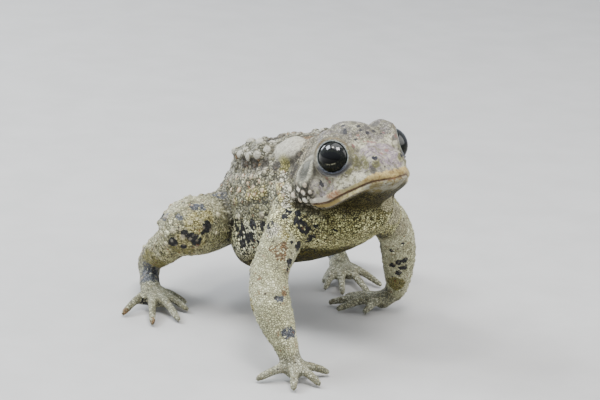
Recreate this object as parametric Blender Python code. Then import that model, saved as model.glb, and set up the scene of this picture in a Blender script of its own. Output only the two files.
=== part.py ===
"""A life-size American toad, caught in mid-step on all four feet.

The toad faces -Y with its right side towards -X, and stands on the plane Z = 0. Body parts are
drawn in millimetres as smooth closed volumes, fused into one skin, shaped with soft pushes and
ridges, and then parted into named pieces with thin cuts. The last step turns it into metres.
"""

import math
import random

import bmesh
import bpy
import numpy as np
from mathutils import Matrix, Vector
from mathutils.bvhtree import BVHTree
from mathutils.kdtree import KDTree

# Sizes of the whole animal, in millimetres
VOXEL = 0.5
SKIN_TRIANGLES = 9800
CUT = 0.3
METRES = 0.001

# Where the head and the trunk sit: origin, pitch (nose up) and roll in degrees
HEAD_AT, HEAD_PITCH, HEAD_ROLL = (-0.5, -10.8, 52.4), 14.0, -4.5
TRUNK_AT, TRUNK_PITCH, TRUNK_ROLL = (0.3, 1.0, 34.0), 17.0, -2.0

# The eye, in the head's own frame: x to the side, y back, z up, from the point midway between the eyes
EYE_SIDE, EYE_BACK, EYE_UP = 7.8, 1.0, -0.5
EYE_RADIUS = 4.5
EYE_OPENING = 3.4
EYE_TURN = 56.0
LID_THICKNESS = 1.25

# The ear drum, in the head's frame, and its half sizes
EAR_SIDE, EAR_BACK, EAR_UP = 12.9, 7.8, -3.4
EAR_HALF = (2.1, 3.0)

# The parotoid gland, in the trunk's frame, and its half sizes
GLAND_AT = (8.9, 4.2, 15.9)
GLAND_HALF = (4.4, 7.6, 2.4)
GLAND_TILT, GLAND_SWING = 37.0, 12.0

# Trunk stations: distance back, half width, height of back, depth of belly
TRUNK = (
    (-13.0, 8.6, 14.5, 5.8),
    (-7.0, 11.4, 17.2, 8.6),
    (-1.0, 13.8, 18.4, 10.4),
    (5.0, 16.0, 18.9, 11.7),
    (11.0, 16.8, 19.1, 12.7),
    (17.0, 16.9, 19.1, 13.4),
    (23.0, 15.9, 18.9, 13.4),
    (29.0, 13.3, 18.2, 12.9),
    (34.5, 11.0, 17.0, 11.7),
    (39.5, 9.2, 14.8, 10.3),
    (44.5, 7.6, 11.8, 8.6),
    (49.0, 5.8, 8.8, 6.7),
    (52.3, 3.2, 5.2, 4.4),
    (54.0, 1.0, 2.4, 2.0),
)

# Head stations: distance back, half width, widest level, height above and depth below it, and how
# square the upper half of the section is
HEAD = (
    (-10.5, 1.9, -6.3, 1.6, 1.0, 2.0),
    (-10.0, 3.6, -6.5, 3.5, 1.7, 2.0),
    (-8.8, 5.0, -6.9, 5.4, 2.4, 1.9),
    (-7.0, 6.5, -7.3, 7.4, 3.1, 1.8),
    (-4.5, 8.6, -7.9, 10.2, 4.0, 1.75),
    (-1.0, 10.7, -8.4, 12.9, 5.1, 1.8),
    (3.2, 12.2, -9.0, 14.6, 6.4, 1.9),
    (8.0, 13.2, -9.2, 15.0, 7.8, 2.0),
    (13.0, 13.7, -9.0, 14.0, 8.7, 2.2),
    (17.0, 13.5, -8.4, 12.2, 9.2, 2.25),
)

JAW_SQUARE = 1.6

# Limb stations: point on the limb's middle line, then its radius
ARMS = {
    "right": (
        ((-8.0, 4.0, 35.6), 6.0),
        ((-12.5, 1.4, 32.8), 6.0),
        ((-18.2, -2.6, 28.0), 5.0),
        ((-23.4, -6.4, 22.6), 4.7),
        ((-25.7, -10.6, 17.6), 4.9),
        ((-25.9, -14.6, 13.0), 4.4),
        ((-25.7, -17.6, 9.5), 3.4),
        ((-25.2, -19.2, 6.8), 2.8),
        ((-24.4, -20.0, 4.2), 2.6),
    ),
    "left": (
        ((8.5, 4.0, 34.5), 6.0),
        ((13.6, 2.6, 31.2), 5.6),
        ((18.6, 4.4, 27.4), 5.0),
        ((22.8, 6.4, 22.6), 4.7),
        ((25.0, 8.0, 17.4), 4.6),
        ((26.4, 9.4, 11.6), 3.9),
        ((27.3, 10.6, 7.6), 3.1),
        ((27.5, 11.6, 5.2), 2.7),
        ((26.4, 12.8, 3.6), 2.5),
    ),
}
THIGHS = {
    "right": (
        ((-3.0, 44.5, 20.6), 6.6),
        ((-9.8, 40.6, 20.8), 7.4),
        ((-16.2, 36.8, 21.2), 7.5),
        ((-21.2, 33.8, 22.4), 7.7),
        ((-25.6, 31.2, 22.9), 7.2),
    ),
    "left": (
        ((5.0, 44.5, 21.6), 6.6),
        ((12.0, 40.8, 22.0), 7.4),
        ((19.2, 37.0, 22.6), 7.5),
        ((26.0, 33.8, 23.6), 6.8),
        ((31.2, 31.4, 24.4), 5.5),
    ),
}
SHINS = {
    "right": (
        ((-25.2, 31.4, 22.2), 5.4),
        ((-26.0, 35.4, 18.8), 4.8),
        ((-26.2, 41.2, 14.4), 4.3),
        ((-25.4, 47.2, 10.4), 3.5),
        ((-24.0, 52.2, 6.8), 3.0),
    ),
    "left": (
        ((31.6, 31.4, 24.2), 5.2),
        ((32.8, 35.4, 20.6), 5.0),
        ((33.4, 41.2, 15.6), 4.6),
        ((33.2, 46.8, 10.6), 3.5),
        ((32.6, 51.6, 7.0), 3.0),
    ),
}
TARSI = {
    "right": (
        ((-24.0, 52.6, 6.8), 2.8),
        ((-26.0, 48.0, 5.4), 2.6),
        ((-28.8, 42.4, 4.0), 2.7),
    ),
    "left": (
        ((32.6, 52.0, 6.9), 2.8),
        ((31.6, 47.0, 5.3), 2.6),
        ((29.8, 41.6, 4.0), 2.7),
    ),
}

# Hands and feet: where the digits spring from and where each one ends
HANDS = {
    "right": ((-24.0, -20.6, 3.0), ((-15.4, -22.2), (-21.6, -28.0), (-28.8, -28.0), (-33.2, -19.0))),
    "left": ((25.0, 13.6, 2.8), ((20.2, 23.4), (13.4, 21.0), (12.6, 15.8), (17.6, 10.8))),
}
FEET = {
    "right": (
        (-28.8, 41.4, 3.2),
        ((-21.4, 36.6), (-23.8, 31.4), (-29.6, 25.6), (-37.2, 25.8), (-40.4, 35.4)),
    ),
    "left": (
        (29.6, 41.2, 3.2),
        ((21.4, 36.4), (18.6, 31.4), (20.6, 26.0), (26.8, 22.4), (34.0, 27.6)),
    ),
}
FINGER_RADII = (1.5, 1.35, 1.2, 1.15, 1.0)
TOE_RADII = (1.5, 1.35, 1.2, 1.1, 0.9)
KNUCKLE_RISE = 1.1
WEB_THICKNESS = 1.0
WEB_REACH = 0.5

# Warts: smallest and largest radius, and height for each millimetre of radius
WART_RADII = (0.9, 1.75)
WART_RISE = 0.62

# The largest warts, in a group on the shelf of each side: aside, back, height, radius, in the trunk's frame
SHELF_WARTS = (
    (12.4, 23.4, 15.8, 1.75),
    (12.7, 18.6, 15.8, 1.55),
    (13.0, 13.6, 15.6, 1.5),
    (11.0, 12.2, 17.0, 1.55),
    (9.6, 16.4, 17.8, 1.7),
    (9.6, 20.6, 17.6, 1.75),
    (10.6, 26.8, 16.4, 1.5),
    (7.2, 13.6, 18.4, 1.4),
    (7.0, 24.4, 18.0, 1.6),
)

SKIN_COLOUR = (0.36, 0.33, 0.24)
MATERIALS = {
    "skin": (SKIN_COLOUR, 0.75),
    "gland": ((0.47, 0.45, 0.38), 0.6),
    "ear_drum": ((0.28, 0.27, 0.22), 0.5),
    "eye": ((0.02, 0.02, 0.015), 0.05),
}


def frame(at, pitch, roll):
    """A body frame: x to the left side, y to the back, z up, with the nose lifted by the pitch."""
    turn = Matrix.Rotation(math.radians(-pitch), 4, "X") @ Matrix.Rotation(math.radians(roll), 4, "Y")
    return Matrix.Translation(at) @ turn


HEAD_FRAME = frame(HEAD_AT, HEAD_PITCH, HEAD_ROLL)
TRUNK_FRAME = frame(TRUNK_AT, TRUNK_PITCH, TRUNK_ROLL)


def clear_scene():
    for thing in list(bpy.data.objects):
        bpy.data.objects.remove(thing)


def smooth_rows(rows, fine):
    """The rows of numbers with `fine` steps between each two, on a Catmull-Rom curve."""
    rows = np.array(rows, float)
    padded = np.vstack([2 * rows[0] - rows[1], rows, 2 * rows[-1] - rows[-2]])
    steps = []
    for index in range(len(rows) - 1):
        before, start, end, after = padded[index : index + 4]
        for step in range(fine):
            t = step / fine
            pull = end - before
            bend = 2 * before - 5 * start + 4 * end - after
            twist = 3 * start - before - 3 * end + after
            steps.append(start + 0.5 * (pull * t + bend * t**2 + twist * t**3))
    steps.append(rows[-1])
    return np.array(steps)


def oval(half, top, bottom, above=2.0, below=2.0, count=28):
    """Points round an oval in the plane of x and z; 2 is an ellipse, and more is squarer."""
    points = []
    for index in range(count):
        angle = 2 * math.pi * index / count
        across, along = math.cos(angle), math.sin(angle)
        square = above if along > 0 else below
        x = half * math.copysign(abs(across) ** (2 / square), across)
        z = (top if along > 0 else bottom) * math.copysign(abs(along) ** (2 / square), along)
        points.append((x, z))
    return points


def loft(rings):
    """One closed body bridged from ring to ring, with its two ends capped."""
    mesh = bmesh.new()
    loops = []
    for ring in rings:
        made = bmesh.ops.create_circle(mesh, segments=len(ring), radius=1.0)
        for vertex, point in zip(made["verts"], ring):
            vertex.co = point
        loops.append(list({edge for vertex in made["verts"] for edge in vertex.link_edges}))
    for first, second in zip(loops, loops[1:]):
        bmesh.ops.bridge_loops(mesh, edges=first + second)
    for end in (loops[0], loops[-1]):
        bmesh.ops.contextual_create(mesh, geom=end)
    bmesh.ops.recalc_face_normals(mesh, faces=mesh.faces)
    return mesh


def trunk_body():
    rings = []
    for back, half, top, bottom in smooth_rows(TRUNK, 3):
        section = oval(half, top, bottom, 2.35, 2.35)
        rings.append([TRUNK_FRAME @ Vector((x, back, z)) for x, z in section])
    return loft(rings)


def head_body():
    rings = []
    for back, half, level, top, bottom, square in smooth_rows(HEAD, 3):
        section = oval(half, top, bottom, square, JAW_SQUARE)
        rings.append([HEAD_FRAME @ Vector((x, back, level + z)) for x, z in section])
    return loft(rings)


def limb(stations, fine=3, count=16):
    """A round limb through (point, radius) stations, with rounded ends."""
    rows = smooth_rows([(*point, radius) for point, radius in stations], fine)
    centres, radii = rows[:, :3], rows[:, 3]
    rings = []
    side = None
    for index, centre in enumerate(centres):
        low, high = max(index - 1, 0), min(index + 1, len(centres) - 1)
        along = Vector(centres[high] - centres[low]).normalized()
        guess = side or (Vector((0, 0, 1)).cross(along) if abs(along.z) < 0.95 else Vector((1, 0, 0)))
        side = (guess - along * guess.dot(along)).normalized()
        up = side.cross(along).normalized()
        ring = []
        for x, z in oval(radii[index], radii[index], radii[index], count=count):
            ring.append(Vector(centre) + side * x + up * z)
        rings.append(ring)
    body = loft(rings)
    for end, along in ((0, centres[0] - centres[1]), (-1, centres[-1] - centres[-2])):
        cap = ball(centres[end], (radii[end] * 0.98,) * 3, levels=2)
        merge_into(body, cap)
    return body


def ball(at, radii, turn=None, levels=3):
    """An ellipsoid, turned by a 4x4 matrix if one is given."""
    mesh = bmesh.new()
    place = Matrix.Translation(at) @ (turn or Matrix.Identity(4)) @ Matrix.Diagonal((*radii, 1.0))
    bmesh.ops.create_icosphere(mesh, subdivisions=levels, radius=1.0, matrix=place)
    return mesh


def merge_into(mesh, other):
    """Adds the other body to this mesh and frees it."""
    copy = bpy.data.meshes.new("piece")
    other.to_mesh(copy)
    other.free()
    mesh.from_mesh(copy)
    bpy.data.meshes.remove(copy)


def rotation_only(matrix):
    return matrix.to_3x3().to_4x4()


def eye_axis(side):
    """The direction in which an eye looks, in the head's frame; side is -1 for the right one."""
    turn = math.radians(EYE_TURN)
    return Vector((side * math.sin(turn), -math.cos(turn), 0.1)).normalized()


def eye_centre(side):
    return Vector((side * EYE_SIDE, EYE_BACK, EYE_UP))


def lid_dome(side):
    """The ball of lids round an eye, cut flat where the eye looks out."""
    centre = HEAD_FRAME @ eye_centre(side)
    axis = (rotation_only(HEAD_FRAME) @ eye_axis(side)).normalized()
    mesh = ball(centre, (EYE_RADIUS + LID_THICKNESS,) * 3, levels=4)
    plane = centre + axis * math.sqrt(EYE_RADIUS**2 - EYE_OPENING**2)
    geometry = mesh.verts[:] + mesh.edges[:] + mesh.faces[:]
    cut = bmesh.ops.bisect_plane(mesh, geom=geometry, plane_co=plane, plane_no=axis, clear_outer=True)
    rim = [part for part in cut["geom_cut"] if isinstance(part, bmesh.types.BMEdge)]
    bmesh.ops.contextual_create(mesh, geom=rim)
    return mesh


def head_lumps():
    """The rounded masses that the plain head lacks: brows, jaw muscles and the bridge of the snout."""
    turn = rotation_only(HEAD_FRAME)
    lumps = []
    for side in (-1, 1):
        for at, radii in (
            ((side * 7.4, 2.4, 3.6), (3.0, 5.2, 2.75)),
            ((side * 11.8, 9.0, -7.0), (3.4, 4.6, 5.2)),
            ((side * 3.0, -6.6, -3.0), (2.6, 3.4, 2.6)),
        ):
            lumps.append(ball(HEAD_FRAME @ Vector(at), radii, turn))
        lumps.append(lid_dome(side))
    return lumps


def trunk_lumps():
    """Shoulders, the fold of flank over the groin, the hump over the hips and the seat."""
    turn = rotation_only(TRUNK_FRAME)
    lumps = []
    for side in (-1, 1):
        for at, radii in (
            ((side * 12.0, 2.0, 2.0), (5.0, 7.5, 8.0)),
            ((side * 11.4, 22.6, -6.6), (4.8, 9.4, 6.8)),
            ((side * 10.6, 14.0, 10.5), (4.6, 16.0, 5.0)),
            ((side * 5.6, 42.5, -1.0), (5.6, 7.6, 7.0)),
        ):
            lumps.append(ball(TRUNK_FRAME @ Vector(at), radii, turn))
    return lumps


def digit(root, tip, radii, rise):
    """A finger or toe: from the palm, over a low knuckle, down to a rounded tip on the ground."""
    root, end = Vector(root), Vector((*tip, radii[-1] - 0.15))
    rows = []
    for index, radius in enumerate(radii):
        share = index / (len(radii) - 1)
        point = root.lerp(end, share)
        point.z += rise * math.sin(math.pi * share) * (1 - 0.35 * share)
        rows.append((tuple(point), radius))
    return limb(rows, fine=3, count=12)


def web(root, first, second, thickness, reach):
    """The skin between two digits, with its free edge curved in."""
    root = Vector(root)
    ends = [root.lerp(Vector((*tip, 1.0)), reach) for tip in (first, second)]
    middle = root.lerp((ends[0] + ends[1]) / 2, 0.8)
    mesh = bmesh.new()
    corners = [mesh.verts.new(point) for point in (root, ends[0], middle, ends[1])]
    face = mesh.faces.new(corners)
    if face.normal.z < 0:
        face.normal_flip()
    bmesh.ops.recalc_face_normals(mesh, faces=mesh.faces)
    grown = bmesh.ops.extrude_face_region(mesh, geom=mesh.faces[:])
    raised = [part for part in grown["geom"] if isinstance(part, bmesh.types.BMVert)]
    bmesh.ops.translate(mesh, verts=raised, vec=(0, 0, thickness))
    bmesh.ops.translate(mesh, verts=mesh.verts, vec=(0, 0, -thickness / 2))
    bmesh.ops.recalc_face_normals(mesh, faces=mesh.faces)
    return mesh


def hand_body(side):
    root, tips = HANDS[side]
    bodies = [ball(root, (3.1, 3.1, 2.0)), ball((root[0], root[1], 1.3), (2.2, 2.2, 1.4))]
    for tip in tips:
        start = Vector(root).lerp(Vector((*tip, root[2])), 0.16)
        bodies.append(digit(start, tip, FINGER_RADII, KNUCKLE_RISE * 0.6))
    return bodies


def foot_body(side):
    root, tips = FEET[side]
    bodies = [ball(root, (3.4, 3.0, 2.0))]
    for tip in tips:
        start = Vector(root).lerp(Vector((*tip, root[2])), 0.08)
        bodies.append(digit(start, tip, TOE_RADII, KNUCKLE_RISE))
    for first, second in zip(tips, tips[1:]):
        low = (root[0], root[1], 1.9)
        bodies.append(web(low, first, second, WEB_THICKNESS, WEB_REACH))
    heel_pad = Vector(root).lerp(Vector((*tips[0], 1.2)), 0.25)
    bodies.append(ball((heel_pad.x, heel_pad.y, 1.1), (1.4, 1.8, 1.3)))
    return bodies


def body_parts():
    bodies = [trunk_body(), head_body(), *head_lumps(), *trunk_lumps()]
    for side in ("right", "left"):
        bodies += [limb(stations[side]) for stations in (ARMS, THIGHS, SHINS, TARSI)]
        bodies += hand_body(side) + foot_body(side)
        elbow = ARMS[side][3][0]
        knee = THIGHS[side][-1][0]
        bodies.append(ball((elbow[0] * 1.03, elbow[1] + 2.4, elbow[2] - 0.6), (3.2, 3.2, 3.8)))
        bodies.append(ball(knee, (4.7, 4.7, 4.9)))
    return bodies


def object_of(mesh, name):
    """A scene object that takes over a bmesh."""
    data = bpy.data.meshes.new(name)
    mesh.to_mesh(data)
    mesh.free()
    made = bpy.data.objects.new(name, data)
    bpy.context.scene.collection.objects.link(made)
    return made


def apply_modifiers(thing):
    """Turns the object's modifiers into its mesh."""
    bpy.context.view_layer.update()
    graph = bpy.context.evaluated_depsgraph_get()
    done = bpy.data.meshes.new_from_object(thing.evaluated_get(graph))
    thing.modifiers.clear()
    thing.data = done


def fused_skin():
    """All the volumes as one closed surface, softened where they meet."""
    whole = bmesh.new()
    for body in body_parts():
        merge_into(whole, body)
    skin = object_of(whole, "skin")
    remesh = skin.modifiers.new("fuse", "REMESH")
    remesh.mode = "VOXEL"
    remesh.voxel_size = VOXEL
    remesh.use_smooth_shade = True
    apply_modifiers(skin)
    soften(skin, blend_weights(skin), 24)
    soften(skin, None, 3)
    return skin


def soften(skin, weights, times):
    """Smooths the skin, by each vertex's own weight where weights are given."""
    smooth = skin.modifiers.new("soften", "SMOOTH")
    smooth.factor = 0.5
    smooth.iterations = times
    if weights is not None:
        group = skin.vertex_groups.new(name="blend")
        for index, weight in enumerate(weights):
            if weight > 0.01:
                group.add([index], float(weight), "REPLACE")
        smooth.vertex_group = group.name
    apply_modifiers(skin)
    skin.vertex_groups.clear()


def coordinates(skin):
    points = np.empty(len(skin.data.vertices) * 3, np.float32)
    skin.data.vertices.foreach_get("co", points)
    return points.reshape(-1, 3).astype(float)


def normals(skin):
    found = np.empty(len(skin.data.vertices) * 3, np.float32)
    skin.data.vertices.foreach_get("normal", found)
    return found.reshape(-1, 3).astype(float)


def store(skin, points):
    skin.data.vertices.foreach_set("co", points.astype(np.float32).ravel())
    skin.data.update()


def falloff(distance):
    """1 at the middle, 0 from distance 1 on, smooth at both ends."""
    near = np.clip(1 - distance**2, 0, 1)
    return near**2 * (3 - 2 * near)


def blend_weights(skin):
    """How much each vertex is softened: fully where limbs join the body, not on lids and digits."""
    points = coordinates(skin)
    weights = np.full(len(points), 0.12)
    joints = [(TRUNK_FRAME @ Vector((0, -9, 4)), 20.0)]
    for side in ("right", "left"):
        joints += [(ARMS[side][1][0], 12.0), (ARMS[side][3][0], 8.0), (THIGHS[side][1][0], 15.0)]
        joints += [(THIGHS[side][-1][0], 9.0), (SHINS[side][-1][0], 6.0), (HANDS[side][0], 5.0)]
        joints += [(FEET[side][0], 5.0)]
    for at, reach in joints:
        away = np.linalg.norm(points - np.array(at), axis=1) / reach
        weights = np.maximum(weights, falloff(away))
    for side in (-1, 1):
        eye = np.array(HEAD_FRAME @ eye_centre(side))
        away = np.linalg.norm(points - eye, axis=1)
        weights *= 1 - falloff(away / 8.0)
    weights[points[:, 2] < 2.6] *= 0.1
    return weights


def in_frame(points, matrix):
    """World points in the coordinates of a body frame."""
    inverse = np.array(matrix.inverted())
    return points @ inverse[:3, :3].T + inverse[:3, 3]


def along_line(points, line):
    """Distance from each point to a line of joined stretches."""
    best = np.full(len(points), 1e9)
    for start, end in zip(line[:-1], line[1:]):
        start, end = np.array(start), np.array(end)
        span = end - start
        share = np.clip((points - start) @ span / (span @ span), 0, 1)
        best = np.minimum(best, np.linalg.norm(points - start - share[:, None] * span, axis=1))
    return best


def mouth_level(back):
    """Height of the mouth's line in the head's frame, at a distance back from the eyes."""
    run = back + 10.9
    front = min(max(1 - run / 3.2, 0), 1)
    return -6.0 - 0.385 * run + 0.001 * run**2 - 0.95 * front**2


def mouth_line(side, lift=0.0):
    """The line of the lips along one side, on the plain head's outline."""
    line = []
    for back, half, level, top, bottom, square in smooth_rows(HEAD[:8], 3):
        height = mouth_level(back) + lift
        reach, power = (top, square) if height > level else (bottom, JAW_SQUARE)
        share = min(abs(height - level) / reach, 1.0)
        line.append((side * half * (1 - share**power) ** (1 / power), back, height))
    return [point for point in line if point[1] < 7.2]


def lid_folds(local, side):
    """A rolled rim round the eye's opening, with a soft furrow outside it."""
    axis = np.array(eye_axis(side))
    away = local - np.array(eye_centre(side))
    ahead = away @ axis
    aside = np.linalg.norm(away - ahead[:, None] * axis, axis=1)
    rim = np.hypot(aside - EYE_OPENING - 0.55, ahead - 2.9)
    furrow = np.hypot(aside - EYE_OPENING - 1.75, ahead - 1.9)
    return 0.3 * falloff(rim / 0.9) - 0.2 * falloff(furrow / 0.9)


def shape_head(points, out):
    """Lips, crests, the crown between the lids, and the hollows before and behind the eye."""
    local = in_frame(points, HEAD_FRAME)
    push = np.zeros(len(points))
    for side in (-1, 1):
        upper = along_line(local, mouth_line(side, 0.95))
        lower = along_line(local, mouth_line(side, -0.95))
        groove = along_line(local, mouth_line(side))
        push += 0.42 * falloff(upper / 1.5) + 0.42 * falloff(lower / 1.4) - 0.45 * falloff(groove / 0.8)
        crest = [(side * 3.0, -3.4, 3.9), (side * 3.3, 1.0, 6.0), (side * 4.4, 7.6, 6.4)]
        valley = [(side * 4.9, -3.6, 3.4), (side * 5.2, 0.5, 5.6), (side * 5.6, 4.0, 5.8)]
        spur = [(side * 4.8, 7.6, 6.4), (side * 8.6, 7.9, 5.0), (side * 11.2, 7.4, 2.4)]
        canthus = [(side * 5.2, -4.0, 2.2), (side * 3.0, -8.6, -0.8)]
        push += 0.9 * falloff(along_line(local, crest) / 1.6)
        push -= 0.7 * falloff(along_line(local, valley) / 1.5)
        push += 0.7 * falloff(along_line(local, spur) / 1.6)
        push += 0.2 * falloff(along_line(local, canthus) / 1.8)
        push += lid_folds(local, side)
        for at, reach, height in (
            ((side * 7.4, -6.6, -2.4), 3.0, -0.8),
            ((side * 2.7, -9.2, -1.9), 1.2, 0.3),
            ((side * 12.4, 4.8, -4.8), 2.0, -0.2),
            ((side * 7.6, 0.0, 5.2), 3.6, -0.8),
        ):
            push += height * falloff(np.linalg.norm(local - np.array(at), axis=1) / reach)
    crown = [(0.0, 2.0, 5.0), (0.0, 8.0, 5.6)]
    push += 1.15 * falloff(along_line(local, crown) / 4.4)
    dish = [(0.0, -8.0, 0.8), (0.0, -4.0, 3.2)]
    push -= 0.5 * falloff(along_line(local, dish) / 3.0)
    return points + out * push[:, None]


def shape_trunk(points, out):
    """The shelf of skin that carries the largest warts on each side of the back, and the dip below it."""
    local = in_frame(points, TRUNK_FRAME)
    push = np.zeros(len(points))
    for side in (-1, 1):
        shelf = [(side * 11.2, 13.0, 16.4), (side * 11.2, 19.0, 16.6), (side * 9.8, 27.0, 16.4)]
        dip = [(side * 14.2, 8.0, 12.8), (side * 14.4, 17.0, 12.6), (side * 13.2, 27.0, 12.2)]
        push += 2.3 * falloff(along_line(local, shelf) / 4.4)
        push -= 0.8 * falloff(along_line(local, dip) / 2.4)
    return points + out * push[:, None]


def surface_point(tree, origin, direction):
    """Where a line from inside the body leaves its skin for the last time."""
    origin = Vector(origin) + Vector(direction) * 60.0
    hit = tree.ray_cast(origin, -Vector(direction))[0]
    return hit


def wart_spots(tree):
    """Places and radii of the larger warts: on the back, the flanks, the thighs and the shins."""
    draw = random.Random(41)
    spots = []

    def add(place, radius, room):
        if place is None or any((place - other).length < (radius + near) * room for other, near in spots):
            return
        spots.append((place, radius))

    turn = rotation_only(TRUNK_FRAME)
    for side in (-1, 1):
        for across, back, height, radius in SHELF_WARTS:
            origin = TRUNK_FRAME @ Vector((0, back + side * 0.5, 6.0))
            direction = turn @ Vector((side * across, 0, height - 6.0)).normalized()
            add(surface_point(tree, origin, direction), radius, 0.8)
    for _ in range(620):
        back = draw.uniform(7.0, 50.0)
        angle = math.radians(draw.uniform(-20.0, 200.0))
        radius = draw.uniform(*WART_RADII) * (1.0 if math.sin(angle) > 0.35 else 0.75)
        origin = TRUNK_FRAME @ Vector((0, back, 3.0))
        direction = turn @ Vector((math.cos(angle), 0, math.sin(angle)))
        add(surface_point(tree, origin, direction), radius, 1.12)
    for stations, reach in ((THIGHS, (1, 4)), (SHINS, (0, 3))):
        for side in ("right", "left"):
            rows = stations[side][reach[0] : reach[1] + 1]
            for _ in range(46):
                share = draw.uniform(0, len(rows) - 1.001)
                index = int(share)
                start, end = Vector(rows[index][0]), Vector(rows[index + 1][0])
                middle = start.lerp(end, share - index)
                along = (end - start).normalized()
                across = along.orthogonal().normalized()
                spin = Matrix.Rotation(draw.uniform(0, 2 * math.pi), 4, along)
                direction = spin @ across
                if direction.z < -0.25:
                    continue
                hit = tree.ray_cast(middle, direction, 9.5)[0]
                add(hit, draw.uniform(0.8, 1.25), 1.2)
    return spots


def raise_warts(skin, spots):
    """Lifts a low dome of skin at each spot."""
    points, out = coordinates(skin), normals(skin)
    near = KDTree(len(points))
    for index, point in enumerate(points):
        near.insert(point, index)
    near.balance()
    lift = np.zeros(len(points))
    for place, radius in spots:
        for _, index, away in near.find_range(place, radius * 1.15):
            lift[index] = max(lift[index], WART_RISE * radius * float(falloff(away / (radius * 1.15))))
    store(skin, points + out * lift[:, None])


def thin_out(skin):
    """Fewer faces, kept closest together on the head and the digits."""
    points = coordinates(skin)
    local = in_frame(points, HEAD_FRAME)
    keep = np.full(len(points), 0.25)
    keep = np.maximum(keep, 1.0 * falloff(np.linalg.norm(local / np.array((17, 16, 14)), axis=1) * 0.8))
    group = skin.vertex_groups.new(name="keep")
    for index, weight in enumerate(keep):
        group.add([index], float(weight), "REPLACE")
    thin = skin.modifiers.new("thin", "DECIMATE")
    thin.ratio = SKIN_TRIANGLES / sum(len(face.vertices) - 2 for face in skin.data.polygons)
    thin.vertex_group = group.name
    thin.invert_vertex_group = True
    thin.vertex_group_factor = 0.6
    thin.use_collapse_triangulate = True
    apply_modifiers(skin)
    skin.vertex_groups.clear()


def helper(mesh, name):
    """A cutting body, kept out of the model."""
    tool = object_of(mesh, name)
    tool.hide_render = True
    tool.display_type = "WIRE"
    return tool


def combine(thing, tool, operation):
    """A Boolean of the object with one cutter, applied at once."""
    cut = thing.modifiers.new(tool.name, "BOOLEAN")
    cut.operation = operation
    cut.solver = "MANIFOLD"
    cut.object = tool
    apply_modifiers(thing)


def slab(centre, normal, reach):
    """A round plate, as thin as a cut, across a limb."""
    mesh = bmesh.new()
    place = Matrix.Translation(centre) @ Vector(normal).to_track_quat("Z", "Y").to_matrix().to_4x4()
    bmesh.ops.create_cone(
        mesh, cap_ends=True, segments=24, radius1=reach, radius2=reach, depth=CUT, matrix=place
    )
    return mesh


def bent_plate(profile, matrix, half):
    """A thin plate that follows a profile of (y, z) points, as wide as 2 * half."""
    rings = []
    for index, (back, height) in enumerate(profile):
        low, high = max(index - 1, 0), min(index + 1, len(profile) - 1)
        run = Vector((0, profile[high][0] - profile[low][0], profile[high][1] - profile[low][1]))
        across = Vector((0, -run.z, run.y)).normalized() * CUT / 2
        middle = Vector((0, back, height))
        ring = [middle + across, middle - across]
        wide = [Vector((-half, 0, 0)), Vector((half, 0, 0))]
        corners = (ring[0] + wide[0], ring[0] + wide[1], ring[1] + wide[1], ring[1] + wide[0])
        rings.append([matrix @ corner for corner in corners])
    return loft(rings)


def jaw_cut():
    """The mouth's line, carried back to its corner and then down through the throat."""
    profile = [(back, mouth_level(back)) for back in (-14.0, -11.0, -8.0, -4.5, -1.0, 2.5, 5.5)]
    profile += [(7.0, -12.9), (6.6, -15.6), (4.8, -19.6), (2.8, -24.0)]
    return bent_plate(profile, HEAD_FRAME, 17.5)


def neck_cut():
    """A plate behind the ear drums, leaning forward as it goes down to the throat."""
    centre = Vector((0, 0.0, 43.0))
    mesh = bmesh.new()
    lean = Vector((0, 1.0, -0.62)).normalized()
    place = Matrix.Translation(centre) @ lean.to_track_quat("Z", "Y").to_matrix().to_4x4()
    bmesh.ops.create_cube(mesh, size=1.0, matrix=place @ Matrix.Diagonal((44.0, 38.0, CUT, 1.0)))
    return mesh


def limb_cut(stations, side, index, share, reach):
    """A thin cut across a limb, between two of its stations."""
    start, end = (Vector(stations[side][step][0]) for step in (index, index + 1))
    return slab(start.lerp(end, share), end - start, reach)


SHOULDER_CUTS = {
    "right": ((-17.9, -2.4, 28.3), (-0.72, -0.52, -0.46), 8.2),
    "left": ((18.0, 4.6, 28.0), (0.95, 0.05, -0.3), 9.0),
}


def mitre_cut(corner, first, second, reach, beyond):
    """A thin cut between the two limbs that fold together at a corner, along their half angle."""
    one = (Vector(first) - Vector(corner)).normalized()
    two = (Vector(second) - Vector(corner)).normalized()
    middle = (one + two).normalized()
    return slab(Vector(corner) + middle * (reach - beyond), one - two, reach)


def toward(start, end, share):
    return Vector(start).lerp(Vector(end), share)


def cutters():
    """Every thin cut that parts the skin into its named pieces."""
    tools = [helper(neck_cut(), "cut_neck"), helper(jaw_cut(), "cut_jaw")]
    for side in ("right", "left"):
        shoulder = slab(*SHOULDER_CUTS[side])
        for name, mesh in (
            ("shoulder", shoulder),
            ("elbow", limb_cut(ARMS, side, 3, 0.25, 9.0)),
            ("wrist", limb_cut(ARMS, side, 7, 0.35, 5.0)),
            ("hip", limb_cut(THIGHS, side, 2, 0.2, 11.0)),
            ("knee", mitre_cut(SHINS[side][0][0], THIGHS[side][2][0], SHINS[side][2][0], 10.6, 8.5)),
            ("heel", mitre_cut(TARSI[side][0][0], SHINS[side][2][0], TARSI[side][2][0], 9.0, 5.4)),
            ("instep", limb_cut(TARSI, side, 1, 0.75, 5.0)),
        ):
            tools.append(helper(mesh, f"cut_{name}_{side}"))
    return tools


def count_bodies(thing):
    """How many separate closed bodies the object holds."""
    mesh = bmesh.new()
    mesh.from_mesh(thing.data)
    found = len(flood(mesh))
    mesh.free()
    return found


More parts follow.
